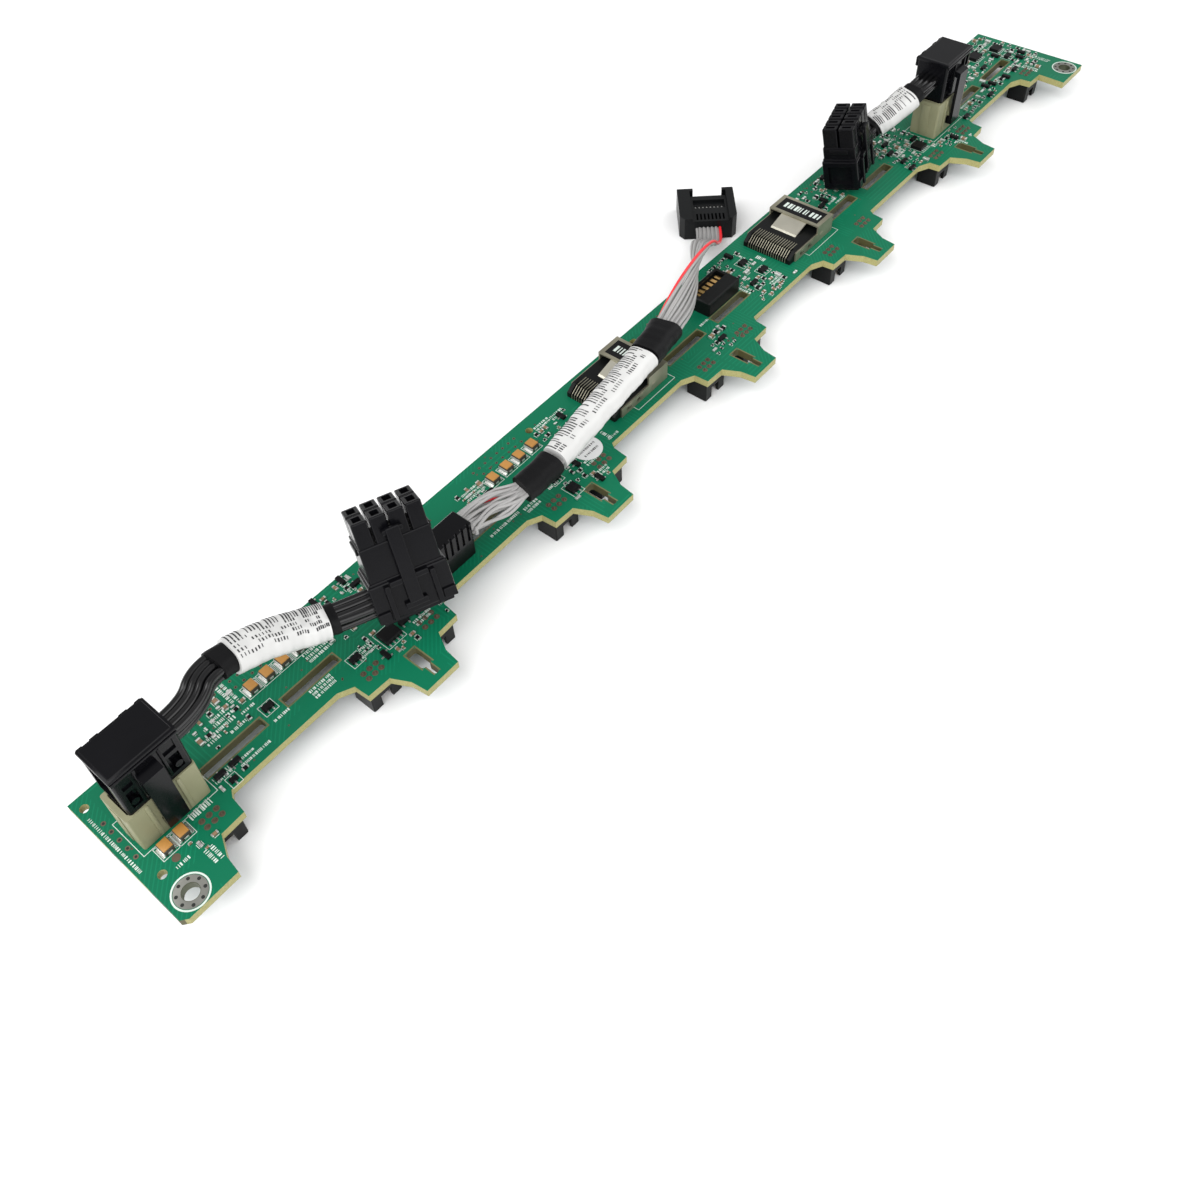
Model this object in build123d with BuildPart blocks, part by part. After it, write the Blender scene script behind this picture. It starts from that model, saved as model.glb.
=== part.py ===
from build123d import *
from math import tan, radians
import os

os.makedirs("parts", exist_ok=True)

# Lengths are in mm. x runs from the left end, y is negative from the straight edge towards the tabs.
# The board lies rear face up on its drive receptacles and fan sockets.
BOARD_L = 418.0
BOARD_W = 41.8
BOARD_T = 2.3
STANDOFF = 7.0
LEFT = -BOARD_L / 2
EDGE = BOARD_W / 2
DRIVE_FACE = STANDOFF
REAR_FACE = DRIVE_FACE + BOARD_T

TAB_FIRST = 9.4
TAB_LAST = 6.6
TABS = 7
TAB_PITCH = (BOARD_L - TAB_FIRST - TAB_LAST) / (TABS - 1)
FULL_TABS = range(1, TABS - 1)
SHOULDER_Y = -32.0
BODY_EDGE_Y = -25.6
BODY_STEP = 0.8
END_HOLE_IN = 5.4
END_HOLE_Y = -37.4
END_HOLE_R = 2.1

RECEPT_L = 42.8
SPRING_L = 6.7
SPRING_AFTER_RECEPT = 0.4
DRIVE_FIRST = 25.5
DRIVE_LAST = 1.8
DRIVES = 5
DRIVE_PITCH = (BOARD_L - DRIVE_FIRST - RECEPT_L - SPRING_AFTER_RECEPT - SPRING_L - DRIVE_LAST) / (DRIVES - 1)

RECEPT_Y = (-9.0, -0.8)
GUIDE_L = 3.4
GUIDE_Y = (-9.4, -4.0)
GUIDE_DROP = 1.5
TONGUE_Y = (-5.2, -3.0)
TONGUE_DEPTH = 5.0
CONTACT_PITCH = 1.27
CONTACT_W = 0.6
CONTACT_T = 0.25
SHORT_GROUP_IN = 5.5
LONG_GROUP_IN = 19.1
SHORT_GROUP = 7
LONG_GROUP = 15

FAN_L = 9.2
FAN_W = 6.9
FAN_Y = -27.55
FAN_OFF = 9.4
FAN_WALL = 0.9
FAN_FLOOR = 1.7
PIN_PITCH = 2.0
PIN_W = 0.5
FAN_PIN_L = 4.2

SPRING_Y = (-15.4, -4.6)
SPRING_H = 3.6
SPRING_FLOOR = 1.2
SPRING_COLS = (1.85, 4.85)
SPRING_ROWS = (-13.4, -10.0, -6.6)

PORT_XS = (DRIVE_FIRST + 1.655 * DRIVE_PITCH, DRIVE_FIRST + 2.682 * DRIVE_PITCH)
PORT_L = 23.5
PORT_Y = -12.5
PORT_HALF = 9.2
PORT_WALL = 0.5
PORT_BODY_H = 3.6
PORT_TOP = 6.0
PORT_ARCH = 8.6
PORT_RIBS = 18
PORT_RIB_PITCH = 0.86

POWER_X = 4.8
POWER_L = 18.0
POWER_LAST = 57.2
POWER_PITCH = BOARD_L - POWER_X - POWER_L - POWER_LAST
POWER_Y = (-22.3, -12.7)
POWER_H = 12.8
POWER_WALL = 1.2
POWER_FLOOR = 2.4
POWER_PIN_IN = 3.46
POWER_PIN_PITCH = (POWER_L - 2 * POWER_PIN_IN) / 3
POWER_ROW_PITCH = 3.2
POWER_PIN_W = 1.1
POWER_PIN_L = 6.0
FIT = 0.2
PLUG_IN = (1.4, 0.1)
PLUG_Y = (-21.9, -10.6)
PLUG_H = 14.2
PLUG_DEPTH = 8.5
PLUG_POCKET = 1.4
PLUG_EXIT_Y = -16.0
PLUG_EXIT_H = 7.2

LEAD_D = 5.5
SLEEVE_W = 9.8
SLEEVE_T = 6.8
BORE_GAP = 0.05
FREE_W = 18.5
FREE_T = 11.6
FREE_L = 27.0
FREE_TWO_L = 22.0
FREE_TWO_IN = 39.3
FREE_SHELL_L = 11.0
FREE_FLARE = 1.0
FREE_STEP = 1.0
TUBE_L = 6.5
TUBE_GAP = 0.6
TUBE_WALL = 0.65
SOCKET_W = 2.8
SOCKET_L = 9.0
BAR_W = 5.4
BAR_T = 1.1
BAR_RISE = 1.3
WINDOW_T = 2.4
EXIT_RUN = 7.0

SIGNAL_L = 19.0
SIGNAL_LAST = 2.1
SIGNAL_X = (DRIVE_FIRST + DRIVE_PITCH - SIGNAL_LAST - SIGNAL_L, DRIVE_FIRST + DRIVE_PITCH - SIGNAL_LAST)
SIGNAL_Y = (-22.4, -16.0)
SIGNAL_H = 5.0
SIGNAL_PINS = 9
SIGNAL_PLUG_H = 7.0
SIGNAL_D = 5.4
LABEL_W = 10.8
LABEL_T = 6.8
FAR_L = 15.0
FAR_W = 19.0
FAR_T = 8.0
FAR_PITCH = 1.25
FAR_PINS = 8
EAR_W = (2.6, 4.2)
EAR_TIP = 2.6
EAR_STEP = 1.0
FAR_CENTRE = (SIGNAL_X[1] + 157.9, 19.5)
FAR_ALONG = Vector(0.76, 0.65, 0).normalized()

BOARD_CONNECTOR_L = 15.8
BOARD_CONNECTOR_IN = 35.4
BOARD_CONNECTOR_X = (PORT_XS[1] - BOARD_CONNECTOR_IN, PORT_XS[1] - BOARD_CONNECTOR_IN + BOARD_CONNECTOR_L)
BOARD_CONNECTOR_Y = (-15.8, -6.6)
BOARD_CONNECTOR_H = 5.0
CONTACT_WELL = 1.6
FOAM_IN = 3.3
FOAM_L = 19.0
FOAM_Y = (-20.8, -10.7)
FOAM_T = 1.6

# Each row of small parts gives the distance from its anchor, y, length, width and height.
CAP_SIZE = (3.0, 3.4, 2.0)
FIRST_CAPS = (20.2, 25.0, 29.8, 34.6)
FIRST_CAPS_Y = -8.8
SECOND_CAPS = (18.7, 24.1, 29.1, 34.4)
SECOND_CAPS_Y = -9.1
END_CAPS = (-1.3, 3.0)
END_CAPS_Y = -25.6
FIRST_TAB_CHIPS = ((0.2, -23.5, 5.0, 4.0, 1.5), (-9.8, -22.1, 2.9, 1.6, 1.1))
SECOND_TAB_CHIPS = ((-3.1, -28.0, 3.0, 3.0, 1.0), (-3.4, -21.9, 3.2, 1.7, 1.0))
SLOT_CHIPS = ((19.2, -15.8, 2.9, 1.5, 1.1), (2.2, -24.2, 2.0, 1.2, 0.8))
PLUG_CHIPS = ((-7.3, -20.5, 4.0, 4.0, 1.2),)
RIGHT_END_CHIPS = ((-7.5, -11.0, 4.0, 3.4, 1.2), (-10.0, -17.0, 3.0, 1.6, 1.1), (-17.5, -7.4, 5.0, 3.8, 1.2))
PORT_CHIPS = ((-8.0, -9.0, 3.0, 1.8, 1.0), (-7.0, -16.0, 3.0, 1.8, 1.0))
DRIVE_CHIPS = ((22.0, -11.2, 5.6, 2.2, 0.8), (31.9, -11.4, 2.9, 1.6, 1.1), (27.5, -11.4, 1.6, 0.9, 0.6))
GUIDE_CHIPS = ((60.0, -3.4, 3.2, 2.0, 1.6),)

TOOLING_R = 1.1
TOOLING_HOLES = ((3.9, -29.6), (2.1, -3.5))
MIDDLE_HOLE_IN = 6.1
MIDDLE_HOLE_Y = -4.2
TOOLING_SLOT_IN = 52.5
TOOLING_SLOT_Y = -4.1
KEY_Y = -33.7
KEY_SIZE = (3.2, 6.2)
KEY_NECK_Y = -37.6
KEY_NECK = (5.0, 1.4)
AIR_Y = -17.75
AIR_W = 2.9
AIR_IN = (7.25, 30.6)
AIR_L = (17.5, 16.2)


def at(x, y):
    """Turn board distances into the shared frame."""
    return (LEFT + x, EDGE + y)


def over(x, y, z):
    """Give a point above the rear face in the shared frame."""
    return Vector(LEFT + x, EDGE + y, REAR_FACE + z)


def slab(x_span, y_span, z_span, radius=0.0, mode=Mode.ADD):
    """Add or cut a block between two levels, with upright edges rounded if a radius is given."""
    length = x_span[1] - x_span[0]
    width = y_span[1] - y_span[0]
    with BuildSketch(Plane.XY.offset(z_span[0])) as outline:
        with Locations(at((x_span[0] + x_span[1]) / 2, (y_span[0] + y_span[1]) / 2)):
            if radius:
                RectangleRounded(length, width, radius)
            else:
                Rectangle(length, width)
    extrude(outline.sketch, amount=z_span[1] - z_span[0], mode=mode)


def pins(points, size, z_span):
    """Add a square pin at each point between two levels."""
    with BuildSketch(Plane.XY.offset(z_span[0])) as outline:
        with Locations([at(*p) for p in points]):
            Rectangle(size, size)
    extrude(outline.sketch, amount=z_span[1] - z_span[0])


def save(name, part):
    """Label a piece and write it out."""
    part.label = name
    export_step(part, f"parts/{name}.step")


def tab_x(index):
    return TAB_FIRST + index * TAB_PITCH


def drive_x(index):
    return DRIVE_FIRST + index * DRIVE_PITCH


def fan_xs():
    """Give the centres of the fan sockets: one on each end tab, two on each full tab."""
    xs = [tab_x(0) + FAN_OFF]
    for index in FULL_TABS:
        xs += [tab_x(index) - FAN_OFF, tab_x(index) + FAN_OFF]
    return xs + [tab_x(TABS - 1) - FAN_OFF]


def board_points():
    """Follow the board's outline from the left end along the tabs to the right end."""
    tip = -BOARD_W
    points = [(0, 0), (0, tip + 1.3), (1.6, tip)]
    for index in range(TABS):
        x = tab_x(index)
        edge = BODY_EDGE_Y if index < 3 else BODY_EDGE_Y - BODY_STEP
        if index:
            before = BODY_EDGE_Y if index < 4 else BODY_EDGE_Y - BODY_STEP
            points += [(x - 19.0, before), (x - 15.1, before - 1.9), (x - 14.8, SHOULDER_Y)]
            points += [(x - 8.3, SHOULDER_Y - 0.3)]
        if index == TABS - 1:
            points += [(x - 8.8, tip), (BOARD_L, tip), (BOARD_L, 0)]
            break
        if index:
            points += [(x - 5.8, tip + 4.6), (x - 5.2, tip)]
        points += [(x + 5.2, tip), (x + 5.8, tip + 4.6), (x + 8.3, SHOULDER_Y - 0.2)]
        points += [(x + 14.8, SHOULDER_Y), (x + 15.3, edge - 1.7), (x + 16.4, edge)]
    return points


def board():
    """Make the board with its keyholes, end holes, tooling holes and airflow slots."""
    with BuildPart() as body:
        with BuildSketch(Plane.XY.offset(DRIVE_FACE)):
            with BuildLine():
                Polyline([at(*p) for p in board_points()], close=True)
            make_face()
            with Locations([at(END_HOLE_IN, END_HOLE_Y), at(BOARD_L - END_HOLE_IN, END_HOLE_Y)]):
                Circle(END_HOLE_R, mode=Mode.SUBTRACT)
            with Locations([at(*p) for p in TOOLING_HOLES] + [at(tab_x(2) + MIDDLE_HOLE_IN, MIDDLE_HOLE_Y)]):
                Circle(TOOLING_R, mode=Mode.SUBTRACT)
            with Locations(at(tab_x(2) + TOOLING_SLOT_IN, TOOLING_SLOT_Y)):
                SlotOverall(3.4, 1.6, mode=Mode.SUBTRACT)
            with Locations([at(tab_x(i), KEY_Y) for i in FULL_TABS]):
                RectangleRounded(*KEY_SIZE, 0.9, mode=Mode.SUBTRACT)
            with Locations([at(tab_x(i), KEY_NECK_Y) for i in FULL_TABS]):
                SlotOverall(*KEY_NECK, rotation=90, mode=Mode.SUBTRACT)
            for start, length in zip(AIR_IN, AIR_L):
                with Locations([at(drive_x(i) + start, AIR_Y) for i in range(DRIVES)]):
                    RectangleRounded(length, AIR_W, 0.8, mode=Mode.SUBTRACT)
        extrude(amount=BOARD_T)
    return body.part


def contact_offsets():
    """Give the distances of the contacts from a receptacle's left end: a short group and a long one."""
    short = [SHORT_GROUP_IN + i * CONTACT_PITCH for i in range(SHORT_GROUP)]
    return short + [LONG_GROUP_IN + i * CONTACT_PITCH for i in range(LONG_GROUP)]


def drive_receptacle(index):
    """Make one receptacle: a long body with a tongue slot, a key and two lower guide ends."""
    x = drive_x(index)
    low = DRIVE_FACE - STANDOFF
    with BuildPart() as body:
        slab((x + GUIDE_L, x + RECEPT_L - GUIDE_L), RECEPT_Y, (low, DRIVE_FACE), 0.4)
        chamfer(body.edges().group_by(Axis.Z)[0], 0.35)
        for start in (x, x + RECEPT_L - GUIDE_L):
            slab((start, start + GUIDE_L), GUIDE_Y, (low + GUIDE_DROP, DRIVE_FACE))
            slot_x = (start + 1.2, start + GUIDE_L - 1.0)
            slot_y = (GUIDE_Y[1] - 2.4, GUIDE_Y[1])
            slab(slot_x, slot_y, (low + GUIDE_DROP, DRIVE_FACE - 1.5), mode=Mode.SUBTRACT)
        slab((x + 4.4, x + RECEPT_L - 4.4), TONGUE_Y, (low, low + TONGUE_DEPTH), mode=Mode.SUBTRACT)
        key_y = (TONGUE_Y[0] - 1.4, TONGUE_Y[0])
        slab((x + 15.2, x + 17.0), key_y, (low, low + TONGUE_DEPTH), mode=Mode.SUBTRACT)
        with BuildSketch(Plane.XY.offset(low)) as grooves:
            with Locations([at(x + offset, TONGUE_Y[1] + 0.5) for offset in contact_offsets()]):
                Rectangle(CONTACT_W + 0.1, 1.0)
        extrude(grooves.sketch, amount=0.8, mode=Mode.SUBTRACT)
    return body.part


def drive_contacts():
    """Make the thin contacts that stand on the outer wall of every tongue slot."""
    spots = [drive_x(index) + offset for index in range(DRIVES) for offset in contact_offsets()]
    low = DRIVE_FACE - STANDOFF
    with BuildPart() as body:
        with BuildSketch(Plane.XY.offset(low + 1.0)):
            with Locations([at(x, TONGUE_Y[1] - CONTACT_T / 2) for x in spots]):
                Rectangle(CONTACT_W, CONTACT_T)
        extrude(amount=TONGUE_DEPTH - 1.0)
    return body.part


def fan_socket(x):
    """Make one fan socket: a thin box open downwards with a key notch on its tab side."""
    low = DRIVE_FACE - STANDOFF
    out_y = (FAN_Y - FAN_W / 2, FAN_Y + FAN_W / 2)
    in_y = (out_y[0] + FAN_WALL, out_y[1] - FAN_WALL)
    out_x = (x - FAN_L / 2, x + FAN_L / 2)
    with BuildPart() as body:
        slab(out_x, out_y, (low, DRIVE_FACE), 0.35)
        in_x = (out_x[0] + FAN_WALL, out_x[1] - FAN_WALL)
        slab(in_x, in_y, (low, DRIVE_FACE - FAN_FLOOR), mode=Mode.SUBTRACT)
        slab((x - 1.7, x + 1.7), (out_y[0] - 1.0, in_y[0]), (low, low + 3.6), mode=Mode.SUBTRACT)
        slab((x + 2.2, x + 3.2), (in_y[1], out_y[1] + 1.0), (low, low + 2.0), mode=Mode.SUBTRACT)
    return body.part


def fan_pin_spots():
    rows = (FAN_Y - PIN_PITCH / 2, FAN_Y + PIN_PITCH / 2)
    return [(x + k * PIN_PITCH, y) for x in fan_xs() for k in (-1, 0, 1) for y in rows]


def fan_pins():
    """Make the six pins that stand in every fan socket."""
    top = DRIVE_FACE - FAN_FLOOR
    with BuildPart() as body:
        pins(fan_pin_spots(), PIN_W, (top - FAN_PIN_L, top))
    return body.part


def spring_x(index):
    return drive_x(index) + RECEPT_L + SPRING_AFTER_RECEPT


def spring_header(index):
    """Make one spring-contact header with six open wells."""
    x = spring_x(index)
    low = DRIVE_FACE - SPRING_H
    with BuildPart() as body:
        slab((x, x + SPRING_L), SPRING_Y, (low, DRIVE_FACE), 0.3)
        chamfer(body.edges().group_by(Axis.Z)[0], 0.25)
        for column in SPRING_COLS:
            for row in SPRING_ROWS:
                well_x = (x + column - 1.2, x + column + 1.2)
                slab(well_x, (row - 0.8, row + 0.8), (low, DRIVE_FACE - SPRING_FLOOR), mode=Mode.SUBTRACT)
    return body.part


def spring_contacts():
    """Make the bent contacts: a foot on the well's floor, a slope and a contact tip below the rim."""
    foot = DRIVE_FACE - SPRING_FLOOR
    shape = [(-1, 0), (1, 0), (1, -0.35), (-0.55, -2.75), (0.9, -2.75)]
    shape += [(0.9, -3.0), (-0.95, -3.0), (-0.95, -2.65), (0.55, -0.25), (-1, -0.25)]
    with BuildPart() as body:
        for row in SPRING_ROWS:
            with BuildSketch(Plane.XZ.offset(-(EDGE + row + 0.5))):
                for index in range(DRIVES):
                    for column in SPRING_COLS:
                        centre = LEFT + spring_x(index) + column
                        with BuildLine():
                            Polyline([(centre + a, foot + b) for a, b in shape], close=True)
                        make_face()
            extrude(amount=1.0)
    return body.part


def port_body(x):
    """Make a port's moulded insert with a sloped end cut by a row of fine grooves."""
    half = PORT_HALF - PORT_WALL
    with BuildPart() as body:
        with BuildSketch(Plane.XZ.offset(-(EDGE + PORT_Y + half))):
            with BuildLine():
                left = LEFT + x
                top = REAR_FACE + PORT_BODY_H
                far = left + PORT_L - PORT_WALL
                Polyline([(left, REAR_FACE), (left, REAR_FACE + 1.6), (left + 2.6, top), (far, top),
                          (far, REAR_FACE)], close=True)
            make_face()
        extrude(amount=2 * half)
        with BuildSketch(Plane.XY.offset(REAR_FACE + 0.7)) as grooves:
            centres = [(i - (PORT_RIBS - 1) / 2) * PORT_RIB_PITCH for i in range(PORT_RIBS)]
            with Locations([at(x + 1.6, PORT_Y + c) for c in centres]):
                Rectangle(4.4, 0.42)
        extrude(grooves.sketch, amount=PORT_BODY_H, mode=Mode.SUBTRACT)
    return body.part


def port_cage(x):
    """Make a port's metal cage: low side rails and a taller arch, with a recess for a label on top."""
    out_y = (PORT_Y - PORT_HALF, PORT_Y + PORT_HALF)
    in_y = (out_y[0] + PORT_WALL, out_y[1] - PORT_WALL)
    end = x + PORT_L
    arch_x = end - PORT_ARCH
    with BuildPart() as body:
        slab((x + 2.6, end), out_y, (REAR_FACE, REAR_FACE + PORT_BODY_H - 0.4))
        slab((arch_x, end), out_y, (REAR_FACE, REAR_FACE + PORT_TOP))
        slab((x, end - PORT_WALL), in_y, (REAR_FACE, REAR_FACE + PORT_TOP - PORT_WALL), mode=Mode.SUBTRACT)
        slab((arch_x + 1.1, end - 1.1), (out_y[0] + 1.4, out_y[1] - 1.4),
             (REAR_FACE + PORT_TOP - 0.2, REAR_FACE + PORT_TOP), mode=Mode.SUBTRACT)
        for window in (5.0, 9.5):
            slab((x + window, x + window + 2.2), (out_y[0] - 1.0, out_y[1] + 1.0),
                 (REAR_FACE + 1.0, REAR_FACE + 2.0), mode=Mode.SUBTRACT)
    return body.part


def port_flap(x):
    """Make a port's latch flap, hung under the arch and leaning out over the insert."""
    root = LEFT + x + PORT_L - PORT_ARCH
    top = REAR_FACE + PORT_TOP - PORT_WALL
    tip = REAR_FACE + PORT_BODY_H
    shape = [(root + 3.0, top), (root + 0.2, top), (root - 5.4, tip + 0.4), (root - 6.0, tip)]
    shape += [(root - 5.2, tip), (root + 0.3, top - 0.45), (root + 3.0, top - 0.4)]
    with BuildPart() as body:
        with BuildSketch(Plane.XZ.offset(-(EDGE + PORT_Y + 4.6))):
            with BuildLine():
                Polyline(shape, close=True)
            make_face()
        extrude(amount=9.2)
    return body.part


def power_header(x):
    """Make a power header: a deep open box with a latch ramp on its tab side."""
    high = REAR_FACE + POWER_H
    with BuildPart() as body:
        slab((x, x + POWER_L), POWER_Y, (REAR_FACE, high), 0.6)
        slab((x + POWER_WALL, x + POWER_L - POWER_WALL), (POWER_Y[0] + POWER_WALL, POWER_Y[1] - POWER_WALL),
             (REAR_FACE + POWER_FLOOR, high), mode=Mode.SUBTRACT)
        middle = x + POWER_L / 2
        with BuildSketch(Plane.YZ.offset(LEFT + middle - 2.2)) as ramp:
            with BuildLine():
                face = EDGE + POWER_Y[0]
                Polyline([(face, high - 6.6), (face - 0.9, high - 6.6), (face, high - 3.2)], close=True)
            make_face()
        extrude(ramp.sketch, amount=4.4)
    return body.part


def power_spots(x):
    """Give the eight circuits of one power header."""
    first = x + POWER_PIN_IN
    middle = (POWER_Y[0] + POWER_Y[1]) / 2
    rows = (middle - POWER_ROW_PITCH / 2, middle + POWER_ROW_PITCH / 2)
    return [(first + i * POWER_PIN_PITCH, y) for i in range(4) for y in rows]


def power_pins():
    """Make the pins of both power headers."""
    floor = REAR_FACE + POWER_FLOOR
    spots = power_spots(POWER_X) + power_spots(POWER_X + POWER_PITCH)
    with BuildPart() as body:
        pins(spots, POWER_PIN_W, (floor, floor + POWER_PIN_L))
    return body.part


def power_plug(x, cord_side):
    """Make a power plug: a block with pockets, a nose in the header's box and a latch bar outside."""
    rim = REAR_FACE + POWER_H
    top = rim + PLUG_H
    middle = x + POWER_L / 2
    inset = POWER_WALL + FIT
    face = EDGE + POWER_Y[0]
    with BuildPart() as body:
        block = (x + PLUG_IN[0], x + POWER_L - PLUG_IN[1])
        slab(block, PLUG_Y, (rim, top), 0.8)
        chamfer(body.edges().group_by(Axis.Z)[-1], 0.6)
        for pocket in ((block[0] + 1.6, middle - 3.6), (middle + 3.6, block[1] - 1.6)):
            slab(pocket, (PLUG_Y[0], PLUG_Y[0] + PLUG_POCKET), (rim + 1.4, rim + 7.0), mode=Mode.SUBTRACT)
            slab(pocket, (PLUG_Y[0], PLUG_Y[0] + 0.5), (rim + 8.2, top - 1.6), mode=Mode.SUBTRACT)
        far = block[0] if cord_side > 0 else block[1] - PLUG_POCKET
        end_y = (PLUG_Y[0] + 1.8, PLUG_Y[1] - 1.8)
        slab((far, far + PLUG_POCKET), end_y, (rim + 1.6, top - 2.4), mode=Mode.SUBTRACT)
        nose_y = (POWER_Y[0] + inset, POWER_Y[1] - inset)
        slab((x + inset, x + POWER_L - inset), nose_y, (rim - PLUG_DEPTH, rim))
        with BuildSketch(Plane.XY.offset(rim - PLUG_DEPTH)) as bores:
            with Locations([at(*p) for p in power_spots(x)]):
                Rectangle(POWER_PIN_W + 0.5, POWER_PIN_W + 0.5)
        extrude(bores.sketch, amount=POWER_PIN_L, mode=Mode.SUBTRACT)
        with BuildSketch(Plane.YZ.offset(LEFT + middle - 2.6)) as latch:
            with BuildLine():
                Polyline([(EDGE + PLUG_Y[0], top - 4.0), (face - 2.3, top - 4.6), (face - 2.3, rim - 9.4),
                          (face - 0.2, rim - 9.4), (face - 0.2, rim - 7.2), (face - 1.2, rim - 6.7),
                          (face - 1.2, top - 6.4), (EDGE + PLUG_Y[0], top - 6.0)], close=True)
            make_face()
        extrude(latch.sketch, amount=5.2)
    return body.part


def corner_radii(points):
    """Give each corner the radius whose arc takes nearly half of the shorter run beside it."""
    radii = []
    for a, b, c in zip(points, points[1:], points[2:]):
        turn = (b - a).get_angle(c - b)
        radii.append(0.45 * min((b - a).length, (c - b).length) / tan(radians(turn / 2)))
    return radii


def tube(points, diameter):
    """Sweep a round cord along straight runs joined by arcs."""
    with BuildPart() as body:
        with BuildLine() as route:
            FilletPolyline(*points, radius=corner_radii(points))
        with BuildSketch(Plane(origin=points[0], z_dir=points[1] - points[0])):
            Circle(diameter / 2)
        sweep(path=route.wire())
    return body.part


def between(points, start, stop):
    """Cut a stretch out of a route; 2.5 means half-way along the run after corner 2."""
    radii = corner_radii(points)
    first = int(start)
    last = int(stop)
    begin = points[first] + (points[first + 1] - points[first]) * (start - first)
    end = points[last] + (points[last + 1] - points[last]) * (stop - last)
    corners = points[first + 1:last + 1]
    return [begin, *corners, end], radii[first:last]


def collar(points, start, stop, width, thickness, bore, across):
    """Sweep a flat sleeve with a round bore along a stretch of a route."""
    stretch, radii = between(points, start, stop)
    with BuildPart() as body:
        with BuildLine() as route:
            FilletPolyline(*stretch, radius=radii)
        ahead = (stretch[1] - stretch[0]).normalized()
        side = (across - ahead * across.dot(ahead)).normalized()
        with BuildSketch(Plane(origin=stretch[0], x_dir=side, z_dir=ahead)):
            RectangleRounded(width, thickness, thickness * 0.42)
            Circle(bore / 2, mode=Mode.SUBTRACT)
        sweep(path=route.wire())
    return body.part


def free_connector(base, along, wide, length, cells, cord_side):
    """Make a free power connector: a flared shell, a latch bar and a nose that ends in square tubes."""
    flat = Plane(origin=base, x_dir=wide, z_dir=along)
    nose_t = FREE_T - FREE_STEP
    pitch = (FREE_W - FREE_STEP) / cells
    row = nose_t / 2
    face = -FREE_T / 2
    with BuildPart() as body:
        with BuildSketch(flat):
            RectangleRounded(FREE_W - FREE_STEP, nose_t, 0.8)
        extrude(amount=length - TUBE_L)
        with BuildSketch(flat.offset(FREE_STEP)):
            RectangleRounded(FREE_W + FREE_FLARE, FREE_T, 0.8)
            with Locations((-BAR_W, face), (BAR_W, face)):
                Rectangle(1.4, 1.8)
        extrude(amount=FREE_SHELL_L - FREE_STEP)
        with BuildSketch(flat.offset(length - TUBE_L)) as tubes:
            with GridLocations(pitch, row, cells, 2):
                RectangleRounded(pitch - TUBE_GAP, row - TUBE_GAP, 0.4)
        extrude(tubes.sketch, amount=TUBE_L)
        with BuildSketch(flat.offset(length - SOCKET_L)) as sockets:
            with GridLocations(pitch, row, cells, 2):
                Rectangle(pitch - TUBE_GAP - 2 * TUBE_WALL, SOCKET_W)
        extrude(sockets.sketch, amount=SOCKET_L, mode=Mode.SUBTRACT)
        with BuildSketch(flat.offset(4.0)) as bar:
            with Locations((0, face - BAR_RISE + BAR_T / 2)):
                Rectangle(BAR_W, BAR_T)
        extrude(bar.sketch, amount=length - 7.0)
        with BuildSketch(flat.offset(FREE_SHELL_L - 2.0)) as rocker:
            with Locations((0, face - BAR_RISE / 2 + FREE_STEP / 2)):
                Rectangle(BAR_W, BAR_RISE + FREE_STEP)
        extrude(rocker.sketch, amount=4.0)
        with BuildSketch(flat.offset(FREE_STEP + 1.4)) as window:
            with Locations((-cord_side * (FREE_W + FREE_FLARE - WINDOW_T) / 2, 0)):
                Rectangle(WINDOW_T, FREE_T - 3.4)
        extrude(window.sketch, amount=FREE_SHELL_L - FREE_STEP - 2.8, mode=Mode.SUBTRACT)
    return body.part


def signal_header():
    """Make the signal header: a low open box."""
    with BuildPart() as body:
        slab(SIGNAL_X, SIGNAL_Y, (REAR_FACE, REAR_FACE + SIGNAL_H), 0.4)
        slab((SIGNAL_X[0] + 0.7, SIGNAL_X[1] - 0.7), (SIGNAL_Y[0] + 0.7, SIGNAL_Y[1] - 0.7),
             (REAR_FACE + 1.4, REAR_FACE + SIGNAL_H), mode=Mode.SUBTRACT)
    return body.part


def signal_spots():
    middle = ((SIGNAL_X[0] + SIGNAL_X[1]) / 2, (SIGNAL_Y[0] + SIGNAL_Y[1]) / 2)
    half = (SIGNAL_PINS - 1) / 2
    return [(middle[0] + (i - half) * PIN_PITCH, middle[1] + b) for i in range(SIGNAL_PINS) for b in (-1, 1)]


def signal_pins():
    with BuildPart() as body:
        pins(signal_spots(), PIN_W, (REAR_FACE + 1.4, REAR_FACE + 3.8))
    return body.part


def signal_plug():
    """Make the signal plug: a block on the header's rim with a nose inside it."""
    rim = REAR_FACE + SIGNAL_H
    inset = 0.7 + FIT
    with BuildPart() as body:
        slab(SIGNAL_X, SIGNAL_Y, (rim, rim + SIGNAL_PLUG_H), 0.5)
        chamfer(body.edges().group_by(Axis.Z)[-1], 0.4)
        nose_y = (SIGNAL_Y[0] + inset, SIGNAL_Y[1] - inset)
        slab((SIGNAL_X[0] + inset, SIGNAL_X[1] - inset), nose_y, (rim - 2.8, rim))
        with BuildSketch(Plane.XY.offset(rim - 2.8)) as bores:
            with Locations([at(*p) for p in signal_spots()]):
                Rectangle(PIN_W + 0.4, PIN_W + 0.4)
        extrude(bores.sketch, amount=2.2, mode=Mode.SUBTRACT)
        with BuildSketch(Plane.XY.offset(rim + SIGNAL_PLUG_H)) as ribs:
            with Locations([at(x, SIGNAL_Y[0]) for x, y in signal_spots()]):
                Rectangle(0.8, 1.0)
        extrude(ribs.sketch, amount=-SIGNAL_PLUG_H + 1.0, mode=Mode.SUBTRACT)
    return body.part


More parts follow.
